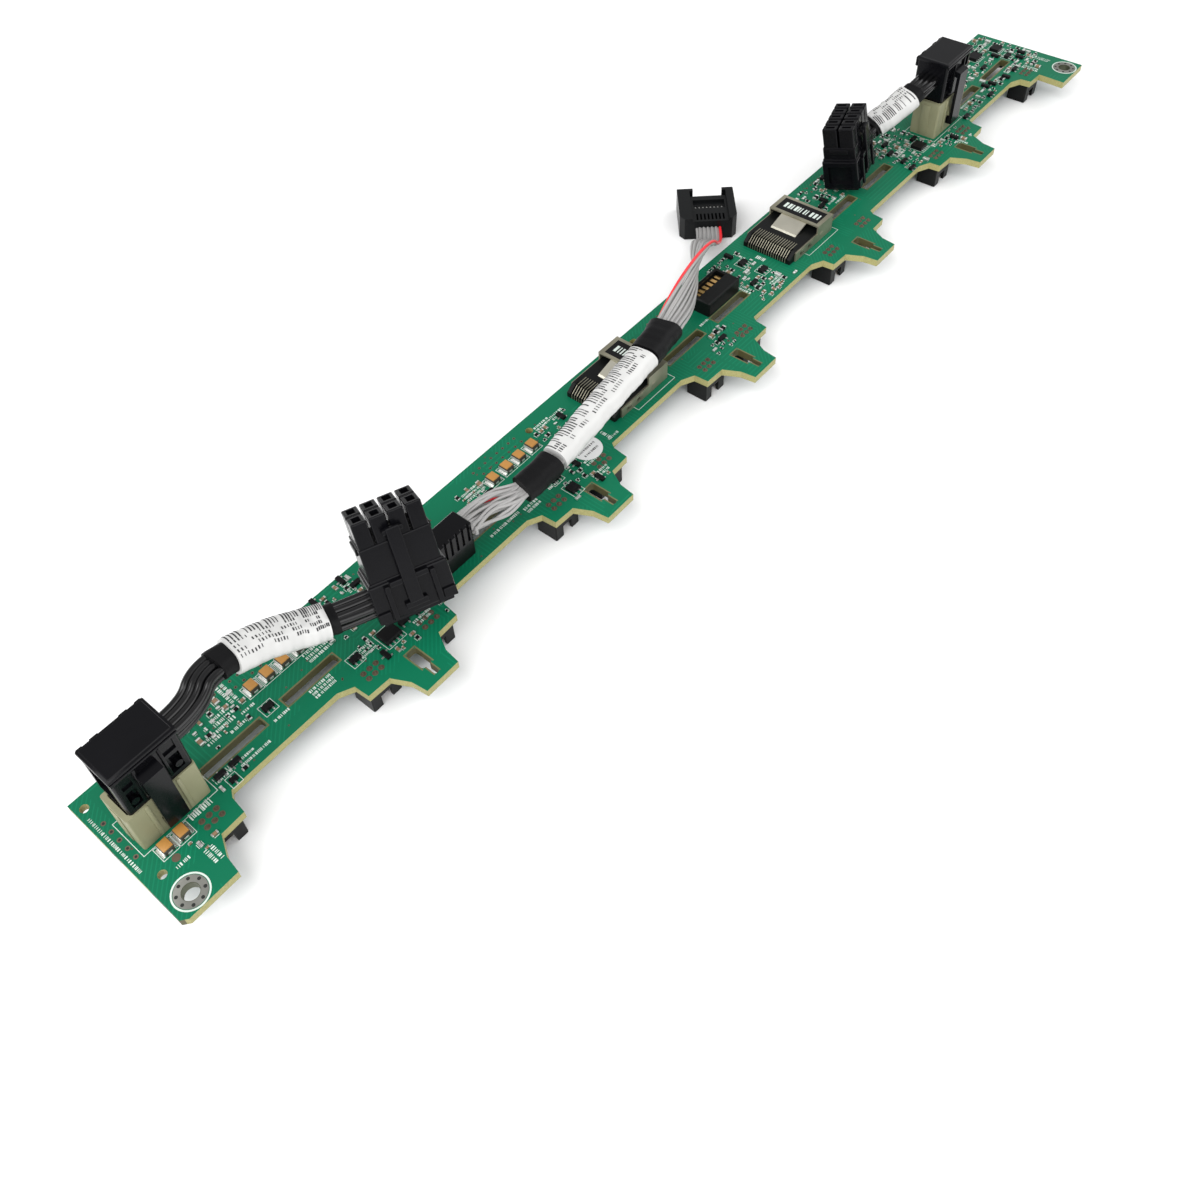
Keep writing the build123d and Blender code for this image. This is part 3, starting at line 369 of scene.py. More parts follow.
class Shape:
    """A mesh under construction, in board millimetres above the rear face."""

    def __init__(self, name: str, place: Matrix | None = None) -> None:
        """Start an empty mesh.

        Args:
            name: The piece's name.
            place: A further placing of the mesh on the board.
        """
        self.name = name
        self.bm = bmesh.new()
        self.place = place or Matrix.Identity(4)

    def box(self, centre: Sequence[float], size: Sequence[float], bevel: float = 0.0,
            turn: float = 0.0, tilt: float = 0.0, segments: int = 2) -> list[bmesh.types.BMFace]:
        """Add a block.

        Args:
            centre: The block's centre.
            size: Its three sides.
            bevel: The width of its rounded edges, or 0.
            turn: Its turn about the upright axis, in radians.
            tilt: Its turn about the board's cross axis, in radians.
            segments: The steps of each rounded edge.

        Returns:
            The block's faces.
        """
        turns = Matrix.Rotation(turn, 4, "Z") @ Matrix.Rotation(tilt, 4, "Y")
        where = Matrix.Translation(centre) @ turns @ Matrix.Diagonal((*size, 1))
        made = bmesh.ops.create_cube(self.bm, size=1.0, matrix=where)
        verts = made["verts"]
        if bevel:
            edges = list({e for v in verts for e in v.link_edges})
            result = bmesh.ops.bevel(self.bm, geom=edges, offset=bevel, affect="EDGES",
                                     segments=segments, profile=0.5, material=-1)
            verts = list({v for f in result["faces"] for v in f.verts})
        return list({f for v in verts for f in v.link_faces})

    def well(self, faces: Iterable[bmesh.types.BMFace], direction: Vector, wall: float,
             depth: float) -> None:
        """Sink the largest face that looks one way, leaving a wall round it.

        Args:
            faces: The faces to choose from.
            direction: The way the chosen face looks.
            wall: The width left round the well.
            depth: The well's depth.
        """
        for face in faces:
            face.normal_update()
        facing = [f for f in faces if f.normal.dot(direction) > 0.99]
        face = max(facing, key=lambda f: f.calc_area())
        for rim, sink in ((wall, 0.0), (0.001, -depth)):
            bmesh.ops.inset_region(self.bm, faces=[face], thickness=rim, depth=sink, use_even_offset=True)

    def rod(self, centre: Sequence[float], radius: float, height: float, segments: int,
            lying: bool = False) -> None:
        """Add a cylinder.

        Args:
            centre: The cylinder's centre.
            radius: Its radius.
            height: Its length.
            segments: The number of its sides.
            lying: Whether it lies across the board instead of standing.
        """
        where = Matrix.Translation(centre) @ Matrix.Rotation(math.pi / 2 if lying else 0.0, 4, "X")
        bmesh.ops.create_cone(self.bm, cap_ends=True, segments=segments, radius1=radius,
                              radius2=radius, depth=height, matrix=where)

    def ring(self, centre: Sequence[float], inner: float, outer: float, height: float,
             steps: int = 40) -> None:
        """Add a flat ring.

        Args:
            centre: The middle of its lower side.
            inner: Its inner radius.
            outer: Its outer radius.
            height: Its thickness.
            steps: The number of its sides.
        """
        where = Matrix.Translation(centre)
        edges = []
        for radius in (inner, outer):
            made = bmesh.ops.create_circle(self.bm, segments=steps, radius=radius, matrix=where)
            edges += list({e for v in made["verts"] for e in v.link_edges})
        faces = bmesh.ops.bridge_loops(self.bm, edges=edges)["faces"]
        lifted = bmesh.ops.extrude_face_region(self.bm, geom=faces)["geom"]
        verts = [g for g in lifted if isinstance(g, bmesh.types.BMVert)]
        bmesh.ops.translate(self.bm, verts=verts, vec=(0, 0, height))

    def frame(self, x_span: Span, y_span: Span, line: float, level: float) -> None:
        """Add a flat rectangular frame whose line lies outside the given spans.

        Args:
            x_span: The low and high x inside it.
            y_span: The low and high y inside it.
            line: The width of its line.
            level: Its level above the rear face.
        """
        middle = ((x_span[0] + x_span[1]) / 2, (y_span[0] + y_span[1]) / 2)
        long = x_span[1] - x_span[0] + 2 * line
        for y in (y_span[0] - line / 2, y_span[1] + line / 2):
            self.box((middle[0], y, level), (long, line, MARK_T))
        for x in (x_span[0] - line / 2, x_span[1] + line / 2):
            self.box((x, middle[1], level), (line, y_span[1] - y_span[0], MARK_T))

    def sweep(self, stations: Sequence[Station], outline: Sequence[Span]) -> None:
        """Draw a closed outline along stations of point, side and up.

        Args:
        Args:
            stations: Where the outline stands, in frame metres.
            outline: The outline's points as side and up distances, in mm.
        """
        back = TO_FRAME.inverted() @ self.place.inverted()
        ring, edges = [], []
        for point, side, up in stations:
            spots = [back @ (point + side * (a * MM) + up * (b * MM)) for a, b in outline]
            if not ring:
                ring = [self.bm.verts.new(spot) for spot in spots]
                edges = [self.bm.edges.new((ring[i - 1], ring[i])) for i in range(len(ring))]
                bmesh.ops.edgenet_fill(self.bm, edges=edges)
                continue
            made = bmesh.ops.extrude_edge_only(self.bm, edges=edges)["geom"]
            edges = [g for g in made if isinstance(g, bmesh.types.BMEdge)]
            fresh = [g for g in made if isinstance(g, bmesh.types.BMVert)]
            ring = [min(fresh, key=lambda f: (f.co - vert.co).length) for vert in ring]
            for vert, spot in zip(ring, spots):
                vert.co = spot
        bmesh.ops.edgenet_fill(self.bm, edges=edges)

    def finish(self, finish: Finish | bpy.types.Material, slot: str, smooth: float = 35.0,
               replaces: Sequence[str] = ()) -> bpy.types.Object:
        """Turn the mesh into a piece that rides on the board.

        Args:
            finish: The finish, or a ready material.
            slot: The record's material slot.
            smooth: The angle in degrees up to which edges are shaded smooth.
            replaces: The CAD nodes that this piece stands for.

        Returns:
            The finished piece.
        """
        bmesh.ops.recalc_face_normals(self.bm, faces=self.bm.faces)
        self.bm.transform(TO_FRAME @ self.place)
        mesh = bpy.data.meshes.new(self.name)
        self.bm.to_mesh(mesh)
        self.bm.free()
        for polygon in mesh.polygons:
            polygon.use_smooth = smooth > 0
        if smooth:
            mesh.set_sharp_from_angle(angle=math.radians(smooth))
        material = finish.build() if isinstance(finish, Finish) else finish
        mesh.materials.append(material)
        return place(bpy.data.objects.new(self.name, mesh), slot, replaces)


def place(piece: bpy.types.Object, slot: str, replaces: Sequence[str] = ()) -> bpy.types.Object:
    """Link a piece and let it ride on the board.

    Args:
        piece: The piece.
        slot: The record's material slot; not used.
        replaces: The CAD nodes that it stands for.

    Returns:
        The piece.
    """
    bpy.context.scene.collection.objects.link(piece)
    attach(piece, "root")
    if replaces:
        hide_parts(*replaces)
    log.info("%s: %d vertices", piece.name, len(piece.data.vertices))
    return piece


def curve_mesh(data: bpy.types.Curve) -> bpy.types.Mesh:
    """Turn a curve into a mesh and remove the curve.

    Args:
        data: The curve.

    Returns:
        The mesh.
    """
    holder = bpy.data.objects.new(data.name, data)
    bpy.context.scene.collection.objects.link(holder)
    mesh = bpy.data.meshes.new_from_object(holder.evaluated_get(bpy.context.evaluated_depsgraph_get()))
    bpy.data.objects.remove(holder)
    bpy.data.curves.remove(data)
    return mesh


@dataclass
class Route:
    """A free cord's line: a NURBS spline with the CAD tube's own points as its control points."""

    name: str
    points: Sequence[Point]
    line: list[Vector] = field(default_factory=list)

    def __post_init__(self) -> None:
        """Work out the line's points."""
        data = bpy.data.curves.new(self.name + " line", "CURVE")
        data.dimensions = "3D"
        spline = data.splines.new("NURBS")
        spline.points.add(len(self.points) - 1)
        for spot, point in zip(spline.points, self.points):
            spot.co = (*point, 1.0)
        spline.order_u = 3
        spline.use_endpoint_u = True
        data.resolution_u = 14
        mesh = curve_mesh(data)
        self.line = [v.co.copy() for v in mesh.vertices]
        bpy.data.meshes.remove(mesh)

    def stations(self) -> list[Station]:
        """Give each point of the line with its level side direction and its up direction.

        Returns:
            The points and their directions.
        """
        found = []
        last = len(self.line) - 1
        for i, point in enumerate(self.line):
            ahead = (self.line[min(i + 1, last)] - self.line[max(i - 1, 0)]).normalized()
            side = Vector((0, 0, 1)).cross(ahead).normalized()
            found.append((point, side, ahead.cross(side).normalized()))
        return found

    def length(self) -> float:
        """Give the line's length in metres."""
        return sum((b - a).length for a, b in zip(self.line, self.line[1:]))

    def part(self, start: float, stop: float) -> list[Station]:
        """Give the stations between two fractions of the line's length.

        Args:
            start: The first fraction.
            stop: The last fraction.

        Returns:
            The stations between them.
        """
        run, total, found = 0.0, self.length(), []
        previous = self.line[0]
        for station in self.stations():
            run += (station[0] - previous).length
            previous = station[0]
            if start * total <= run <= stop * total:
                found.append(station)
        return found


@dataclass
class WireBundle:
    """Several round wires that follow one route side by side."""

    route: Route
    radius: float
    offsets: Sequence[Span]
    wander: float = 0.15
    seed: int = 1
    untidy: float = 0.0
    twist: Span = (1.0, 1.0)
    pinch: Point = (0.0, 0.0, 1.0)
    settle: float = 0.13
    edge_drift: Span = (2.6, 1.3)
    pinch_ease: float = 0.04

    def offset(self, index: int, t: float, phase: Sequence[float]) -> Span:
        """Give a wire's distance from the route at a fraction of its length.

        Args:
            index: Which wire.
            t: The fraction of the route's length.
            phase: The wire's own random phases.

        Returns:
            The distances to the side and up, in mm.
        """
        a, b = self.offsets[index]
        bow = math.sin(math.pi * t) * self.wander
        a += bow * math.sin(5 * t + phase[0])
        b += bow * math.sin(7 * t + phase[1])
        loose = self.untidy * math.sin(math.pi * min(1.0, t / self.settle))
        a = a * (1 - 0.2 * (loose > 0)) + loose * 1.1 * math.sin(11 * t + phase[0])
        b += loose * 1.5 * math.sin(17 * t + phase[1])
        if index == len(self.offsets) - 1:
            a, b = a - self.edge_drift[0] * loose, b - self.edge_drift[1] * loose
        first, last, tight = self.pinch
        held = max(0.0, min(1.0, (t - first) / self.pinch_ease, (last - t) / self.pinch_ease))
        a *= 1 + (tight - 1) * held
        start, stop = self.twist
        if t > start:
            turn = math.pi * min(1.0, (t - start) / (stop - start))
            a, b = a * math.cos(turn) - b * math.sin(turn), a * math.sin(turn) + b * math.cos(turn)
        return a, b

    def strands(self, name: str, chosen: Sequence[int], finish: Finish, slot: str,
                replaces: Sequence[str] = ()) -> bpy.types.Object:
        """Make some of the wires as one mesh.

        Args:
            name: The piece's name.
            chosen: Which wires.
            finish: Their finish.
            slot: The record's slot.
            replaces: The CAD nodes they stand for.

        Returns:
            The finished piece.
        """
        stations = self.route.stations()
        last = len(stations) - 1
        data = bpy.data.curves.new(name, "CURVE")
        data.dimensions = "3D"
        data.bevel_depth = self.radius
        data.bevel_resolution = 3
        data.use_fill_caps = True
        for index in chosen:
            rng = random.Random(self.seed * 100 + index)
            phase = [rng.uniform(0, 6.28) for _ in range(2)]
            spline = data.splines.new("POLY")
            spline.points.add(last)
            for i, (point, side, up) in enumerate(stations):
                a, b = self.offset(index, i / last, phase)
                spline.points[i].co = (*(point + side * (a * MM) + up * (b * MM)), 1)
        mesh = curve_mesh(data)
        mesh.name = name
        for polygon in mesh.polygons:
            polygon.use_smooth = True
        mesh.materials.clear()
        mesh.materials.append(finish.build())
        return place(bpy.data.objects.new(name, mesh), slot, replaces)


def rounded(width: float, thick: float, radius: float, steps: int = 5) -> list[Span]:
    """Give a rounded rectangle's outline.

    Args:
        width: Its width.
        thick: Its height.
        radius: The radius of its corners.
        steps: The steps of each corner.

    Returns:
        The outline's points.
    """
    points = []
    for cx, cy, start in ((1, 1, 0), (-1, 1, 90), (-1, -1, 180), (1, -1, 270)):
        for i in range(steps + 1):
            angle = math.radians(start + 90 * i / steps)
            points.append((cx * (width / 2 - radius) + radius * math.cos(angle),
                           cy * (thick / 2 - radius) + radius * math.sin(angle)))
    return points


@dataclass
class Sleeve:
    """A flat wrap round a cord, with plain bars printed on its upper side."""

    name: str
    route: Route
    start: float
    stop: float
    width: float
    thick: float
    finish: Finish
    slot: str
    bars: bool = False
    replaces: tuple[str, ...] = ()
    flare: float = 0.0
    rows: tuple[float, ...] = (0.06, -0.09, -0.24, -0.38)
    tall: float = 0.85
    bar_step: float = 0.5
    bar_t: float = 0.08
    bar_widths: Span = (0.2, 0.34)
    dash: tuple[int, int] = (3, 9)
    block: tuple[float, ...] = (0.16, 0.23, 0.30, 0.37, 0.44)
    block_gaps: float = 0.15

    @property
    def radius(self) -> float:
        """Give the radius of the section's rounded sides."""
        return self.thick * 0.46

    def build(self) -> list[bpy.types.Object]:
        """Make the wrap and its bars.

        Returns:
            The pieces.
        """
        stations = self.creased(self.route.part(self.start, self.stop))
        shape = Shape(self.name)
        shape.sweep(stations, rounded(self.width, self.thick, self.radius, 7))
        made = [shape.finish(self.finish, self.slot, smooth=50.0, replaces=self.replaces)]
        if self.bars:
            made.append(self.print_bars(stations))
        return made

    def creased(self, stations: list[Station]) -> list[Station]:
        """Let the wrap's section swell and shrink a little along its length.

        Args:
            stations: The stations of the route.

        Returns:
            The stations with longer and shorter side and up directions.
        """
        rng = random.Random(self.name)
        phase = rng.uniform(0, 6.28)
        found = []
        for i, (point, side, up) in enumerate(stations):
            swell = 1 + 0.035 * math.sin(0.55 * i + phase) + 0.02 * math.sin(1.7 * i)
            grow = 1 + self.flare * i / len(stations)
            found.append((point, side * swell * grow, up * (2 - swell)))
        return found

    def wrapped(self, across: float) -> Point:
        """Find where a printed spot lies on the section.

        Args:
            across: The spot's distance from the ridge, in mm.

        Returns:
            Its side and up distances, and its lean in radians.
        """
        flat = self.width / 2 - self.radius
        lean = math.copysign(max(0.0, abs(across) - flat) / self.radius, across)
        level = max(-flat, min(flat, across))
        rise = self.thick / 2 - self.radius + self.radius * math.cos(lean)
        return level + self.radius * math.sin(lean), rise, lean

    def lay_bar(self, shape: Shape, station: Station, ahead: Vector, across: float, size: Span) -> None:
        """Lay one printed bar on the wrap.

        Args:
            shape: The mesh that takes it.
            station: The bar's place on the route.
            ahead: The way the route runs.
            across: The bar's distance from the ridge, in mm.
            size: Its length along the route and across it, in mm.
        """
        point, side, up = station
        a, b, lean = self.wrapped(across)
        level_way = side.normalized() * math.cos(lean) - up.normalized() * math.sin(lean)
        spot = TO_FRAME.inverted() @ (point + side * (a * MM) + up * (b * MM))
        turn = Matrix((ahead, level_way, ahead.cross(level_way))).transposed().to_4x4()
        where = Matrix.Translation(spot) @ turn @ Matrix.Diagonal((*size, self.bar_t, 1))
        bmesh.ops.create_cube(shape.bm, size=1.0, matrix=where)

    def print_bars(self, stations: list[Station]) -> bpy.types.Object:
        """Lay thin dark bars on the upper side: a block of upright bars and rows of short dashes.

        Args:
            stations: The stations of the creased wrap.

        Returns:
            The bars as one piece.
        """
        rng = random.Random(self.name + "bars")
        shape = Shape(self.name + "_bars")
        upright = [self.width * share for share in self.block]
        upright_tall = self.width * 0.075 + 0.1
        rows = [[share, rng.randint(*self.dash)] for share in self.rows]
        for (point, side, up), (after, _, _) in zip(stations[1:-1], stations[2:]):
            ahead = (after - point).normalized()
            for k in range(max(1, int((after - point).length / (self.bar_step * MM)))):
                marks = [(upright, upright_tall)] if rng.random() > self.block_gaps else []
                for row in rows:
                    row[1] -= 1
                    if row[1] > 0:
                        marks.append(([row[0] * self.width], self.tall))
                    elif row[1] < -1:
                        row[1] = rng.randint(*self.dash)
                station = (point + ahead * (k * self.bar_step * MM), side, up)
                for spots, tall in marks:
                    thin = rng.choice(self.bar_widths)
                    for across in spots:
                        self.lay_bar(shape, station, ahead, across, (thin, tall))
        return shape.finish(BAR, "black_nylon", smooth=0)


CAD_FINISHES = {
    "drive_receptacle": BLACK_NYLON,
    "drive_contacts": GOLD,
    "fan_socket": BLACK_NYLON,
    "fan_pins": GOLD,
    "spring_header": BLACK_NYLON,
    "spring_contacts": GOLD,
    "mini_sas_cage": TIN,
    "mini_sas_body": BLACK_NYLON,
    "mini_sas_flap": FLAP,
    "power_header": BEIGE,
    "power_pins": GOLD,
    "power_plug": PLUG_BLACK,
    "signal_header": BLACK_NYLON,
    "signal_pins": GOLD,
    "signal_plug": PLUG_BLACK,
    "signal_connector": CHARCOAL,
    "board_connector_contacts": GOLD,
    "board_connector": BLACK_NYLON,
    "foam_pad": FOAM,
    "rear_chips": CHIP,
    "drive_side_chips": CHIP,
    "solder_tails": BRONZE,
}


class CadLook:
    """Gives every CAD node that is still shown its procedural finish."""

    def build(self) -> None:
        """Set the materials of the nodes."""
        for name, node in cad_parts.items():
            if name == "pcb":
                material = board_material()
            else:
                match = [finish for start, finish in CAD_FINISHES.items() if name.startswith(start)]
                if not match:
                    continue
                material = match[0].build()
            node.data.materials.clear()
            node.data.materials.append(material)
            log.info("finish on %s", name)


@dataclass
class PowerLead:
    """Eight black wires, their label sleeve and its two tape ends."""

    number: int
    route_points: Sequence[Point]
    sleeve_start: float
    sleeve_stop: float
    wire_r: float = 0.00100
    columns: tuple[float, ...] = (-2.55, -0.85, 0.85, 2.55)
    layers: tuple[float, ...] = (-1.0, 1.0)
    label: Span = (9.6, 6.6)
    tape: Span = (8.1, 5.3)
    tape_reach: Span = (0.07, 0.05)
    overlap: float = 0.02

    def build(self) -> None:
        number, start, stop = self.number, self.sleeve_start, self.sleeve_stop
        route = Route(f"power lead {number}", self.route_points)
        offsets = [(a, b) for a in self.columns for b in self.layers]
        bundle = WireBundle(route, self.wire_r, offsets, wander=0.35, seed=number)
        wires = bundle.strands(f"power_wires_{number}", range(len(offsets)), WIRE_BLACK, "black_jacket",
                               [f"power_lead_{number}"])
        pieces = Sleeve(f"power_label_{number}", route, start, stop, *self.label, LABEL, "white_label",
                        bars=True, replaces=(f"power_sleeve_{number}",)).build()
        ends = ((start - self.tape_reach[0], start + self.overlap),
                (stop - self.overlap, stop + self.tape_reach[1]))
        for end, span in enumerate(ends, 1):
            pieces += Sleeve(f"power_tape_{number}_{end}", route, *span, *self.tape, TAPE,
                             "black_tape").build()
        route.length()


@dataclass
class SignalCable:
    """The flat bundle of light grey wires with its bands, sleeve and red edge wire."""

    wires: int = 18
    pitch: float = 0.56
    wire_r: float = 0.00046
    band_one: Span = (0.1076, 0.1836)
    label: Span = (0.1846, 0.4500)
    band_two: Span = (0.4510, 0.5340)

    def build(self) -> None:
        route = Route("signal cable", SIGNAL)
        middle = (self.wires - 1) / 2
        offsets = [((i - middle) * self.pitch, 0.35 * math.sin(i * 2.1)) for i in range(self.wires)]
        bundle = WireBundle(route, self.wire_r, offsets, wander=0.25, seed=7, untidy=1.0,
                            twist=(0.57, 0.86), pinch=(0.078, 0.555, 0.68))
        red = self.wires - 1
        grey = bundle.strands("signal_wires", range(red), WIRE_GREY, "grey_jacket", ["signal_cable"])
        pieces = [bundle.strands("signal_red_wire", [red], WIRE_RED, "grey_jacket")]
        pieces += Sleeve("signal_tape_1", route, *self.band_one, 7.9, 6.2, TAPE, "black_tape",
                         replaces=("signal_band_1",)).build()
        pieces += Sleeve("signal_label", route, *self.label, 7.8, 6.2, LABEL, "white_label", bars=True,
                         replaces=("signal_sleeve",), flare=0.16, rows=(0.04, -0.17), tall=1.15).build()
        pieces += Sleeve("signal_tape_2", route, *self.band_two, 9.2, 6.3, TAPE, "black_tape",
                         replaces=("signal_band_2",), flare=0.08).build()
        route.length()


@cache
def board_tree() -> BVHTree:
    """Give the CAD board's own mesh as a search tree.

    Returns:
        The tree, in frame metres.
    """
    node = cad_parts["pcb"]
    corners = [node.matrix_world @ vertex.co for vertex in node.data.vertices]
    return BVHTree.FromPolygons(corners, [tuple(polygon.vertices) for polygon in node.data.polygons])


def on_board(x: float, y: float, half_x: float, half_y: float) -> bool:
    """Tell whether the board is solid under all four corners of a rectangle.

    Args:
        x: The rectangle's middle along the board, in mm.
        y: Its middle across the board.
        half_x: Half of its length.
        half_y: Half of its width.

    Returns:
        True where a ray from above each corner meets the rear face.
    """
    above_face, slack = 5.0, 0.2
    for dx, dy in ((-1, -1), (-1, 1), (1, -1), (1, 1)):
        above = TO_FRAME @ Vector((x + dx * half_x, y + dy * half_y, above_face))
        spot = board_tree().ray_cast(above, Vector((0, 0, -1)))[0]
        if spot is None or abs(spot.z - REAR_Z * MM) > slack * MM:
            return False
    return True


@dataclass(frozen=True)
class PrintRow:
    """A row of plain printed bars on the board, along it or across it."""

    x: float
    y: float
    length: float
    height: float = 1.0
    across: bool = False
    lines: int = 1

    def draw(self, shape: Shape, level: float, rng: random.Random) -> None:
        """Lay the row's bars.

        Args:
            shape: The mesh that takes them.
            level: Their level in mm.
            rng: The source of their widths.
        """
        for line in range(self.lines):
            shift = line * self.height * 1.45
            run = 0.0
            while run < self.length:
                thick = rng.choice((0.16, 0.2, 0.36))
                tall = self.height * rng.choice((1.0, 1.0, 0.82))
                spot = (self.x + shift, self.y - run) if self.across else (self.x + run, self.y - shift)
                size = (tall, thick, MARK_T) if self.across else (thick, tall, MARK_T)
                if on_board(*spot, size[0] / 2, size[1] / 2):
                    shape.box((*spot, level), size)
                run += thick + rng.choice((0.16, 0.22, 0.4))


REAR_PRINT = tuple(PrintRow(*row) for row in (
    (1.2, -6.6, 19.0, 0.8, True), (6.8, -30.9, 3.6, 0.9), (13.1, -32.6, 4.2, 1.0, True, 2),
    (15.8, -23.9, 5.4, 1.9), (24.6, -20.6, 4.6, 0.8, False, 2), (27.0, -21.4, 8.6, 0.7),
    (31.0, -22.9, 8.4, 0.8), (40.3, -1.4, 7.2, 0.9, True, 2), (33.6, -8.2, 5.0, 1.1, False, 3),
    (29.6, -11.4, 3.6, 0.9, False, 2), (35.0, -14.2, 5.0, 0.9), (43.3, -19.8, 4.4, 0.8),
    (39.8, -12.2, 3.6, 0.8), (59.4, -11.3, 8.0, 0.9, False, 3), (53.7, -20.3, 6.2, 0.8, False, 3),
    (67.5, -21.0, 5.2, 0.7, False, 3), (83.0, -25.4, 5.4, 0.8, False, 2), (63.2, -6.4, 5.0, 0.9),
    (79.8, -1.8, 5.0, 0.8, True, 2), (120.0, -6.4, 6.6, 0.8, False, 3), (114.7, -21.9, 11.0, 0.9),
    (126.9, -22.6, 5.0, 0.9, False, 2), (136.4, -21.8, 4.0, 0.8, False, 2),
    (149.4, -24.4, 4.6, 0.8, False, 2), (146.9, -29.4, 5.6, 0.8, False, 2),
    (150.8, -4.9, 5.6, 0.7, False, 2), (156.8, -5.6, 5.0, 0.8, False, 2),
    (161.2, -20.6, 3.6, 1.0, True), (160.4, -24.0, 4.0, 0.8), (235.4, -14.9, 4.6, 0.9, True, 2),
    (251.6, -10.6, 3.2, 1.5, True), (243.0, -21.4, 5.4, 0.7, False, 2), (248.6, -4.0, 4.0, 0.9, True),
    (214.0, -16.0, 3.6, 0.8), (279.6, -6.0, 5.2, 1.1, True), (289.0, -13.6, 3.6, 0.8),
    (291.0, -15.2, 5.0, 0.7), (326.0, -16.2, 5.4, 1.0, False, 2), (330.6, -9.8, 4.4, 0.8, False, 2),
    (338.8, -24.6, 5.0, 0.8), (346.0, -29.0, 4.4, 0.8, True, 2), (364.2, -11.2, 4.4, 0.9, False, 2),
    (366.0, -20.4, 6.8, 0.8, False, 2), (386.6, -21.2, 7.0, 0.8, False, 2),
    (397.4, -21.2, 7.0, 0.8, False, 2), (404.6, -24.8, 5.8, 0.9, True, 2), (385.2, -3.0, 8.0, 0.9),
    (405.6, -5.0, 6.0, 0.9, False, 2), (413.2, -23.0, 8.0, 0.7, True, 2),
))
DRIVE_PRINT = tuple(
    PrintRow(DRIVE_FIRST + i * DRIVE_PITCH + x, y, length, 1.0, False, lines)
    for i in range(DRIVES)
    for x, y, length, lines in ((1.5, -11.2, 9.0, 1), (13.5, -12.4, 6.0, 2), (34.5, -22.4, 6.5, 1))
)


@dataclass(frozen=True)
class Zone:
    """A stretch of the rear face that carries many small parts."""

    x_span: Span
    y_span: Span
    count: int
    seed: int


ZONES = (
    Zone((10.4, 18.0), (-33.2, -25.4), 13, 1), Zone((23.0, 31.5), (-24.0, -19.9), 5, 2),
    Zone((28.5, 42.0), (-15.6, -4.0), 12, 3), Zone((65.4, 92.0), (-30.0, -19.9), 78, 4),
    Zone((66.0, 92.0), (-15.6, -1.6), 34, 5), Zone((118.6, 127.8), (-15.4, -5.6), 9, 6),
    Zone((137.4, 153.0), (-31.8, -19.9), 34, 7), Zone((149.0, 163.8), (-15.2, -6.4), 16, 8),
    Zone((235.2, 252.6), (-25.0, -2.8), 44, 9), Zone((207.0, 217.0), (-28.5, -20.0), 8, 10),
    Zone((278.8, 302.0), (-15.4, -3.0), 12, 11), Zone((322.0, 342.4), (-30.6, -4.0), 66, 12),
    Zone((342.4, 354.0), (-31.0, -23.2), 26, 13), Zone((361.6, 378.0), (-24.6, -3.0), 34, 14),
    Zone((378.0, 416.6), (-25.0, -1.4), 120, 15), Zone((404.6, 410.4), (-30.4, -25.2), 6, 16),
)


# The place and the two sides of each larger package.
CHIP_SPOTS = (
    (76.6, -23.5, 5.0, 4.0), (66.6, -22.1, 2.9, 1.6), (140.3, -28.0, 3.0, 3.0), (140.0, -21.9, 3.2, 1.7),
    (44.7, -15.8, 2.9, 1.5), (27.7, -24.2, 2.0, 1.2), (335.7, -20.5, 4.0, 4.0), (410.5, -11.0, 4.0, 3.4),
    (408.0, -17.0, 3.0, 1.6), (400.5, -7.4, 5.0, 3.8), (246.0, -9.0, 3.0, 1.8), (247.0, -16.0, 3.0, 1.8),
)
CAP_SPOTS = (
    (45.7, -8.8), (50.5, -8.8), (55.3, -8.8), (60.1, -8.8), (129.4, -9.1), (134.8, -9.1),
    (139.8, -9.1), (145.1, -9.1), (8.1, -25.6), (12.4, -25.6),
)
# The low and high x and the low and high y of what leaves no room for small parts.
LARGE_THINGS = (
    (3.8, 23.8, -23.3, -11.7), (341.8, 361.8, -23.3, -11.7), (88.6, 109.6, -23.4, -15.0),
    (162.5, 190.0, -23.2, -2.6), (250.0, 279.0, -23.2, -2.6), (217.6, 235.4, -16.8, -5.6),
    (43.6, 62.4, -11.2, -6.4), (127.2, 147.2, -11.4, -6.8), (6.0, 14.6, -28.0, -23.4),
    (149.0, 159.0, -26.4, -16.4), (147.6, 151.6, -6.0, -2.4), (0.6, 10.8, -42.0, -31.6),
    (407.2, 418.0, -42.0, -32.0),
)
PART_SIZES = ((1.6, 0.8, 0.6), (1.6, 0.8, 0.5), (1.0, 0.5, 0.4), (2.0, 1.2, 0.8), (2.9, 1.3, 1.0))
PART_GAP = 0.5
TRANSISTOR_L = 2.5


def beside(x: float, y: float, turn: float, along: float, across: float) -> Span:
    """Find a spot beside a small part that may be turned.

    Args:
        x: The part's place along the board.
        y: Its place across the board.
        turn: Its turn in radians.
        along: The spot's distance along the part.
        across: The spot's distance across it.

    Returns:
        The spot on the board.
    """
    step = Vector((along, across, 0))
    step.rotate(Matrix.Rotation(turn, 3, "Z"))
    return x + step.x, y + step.y


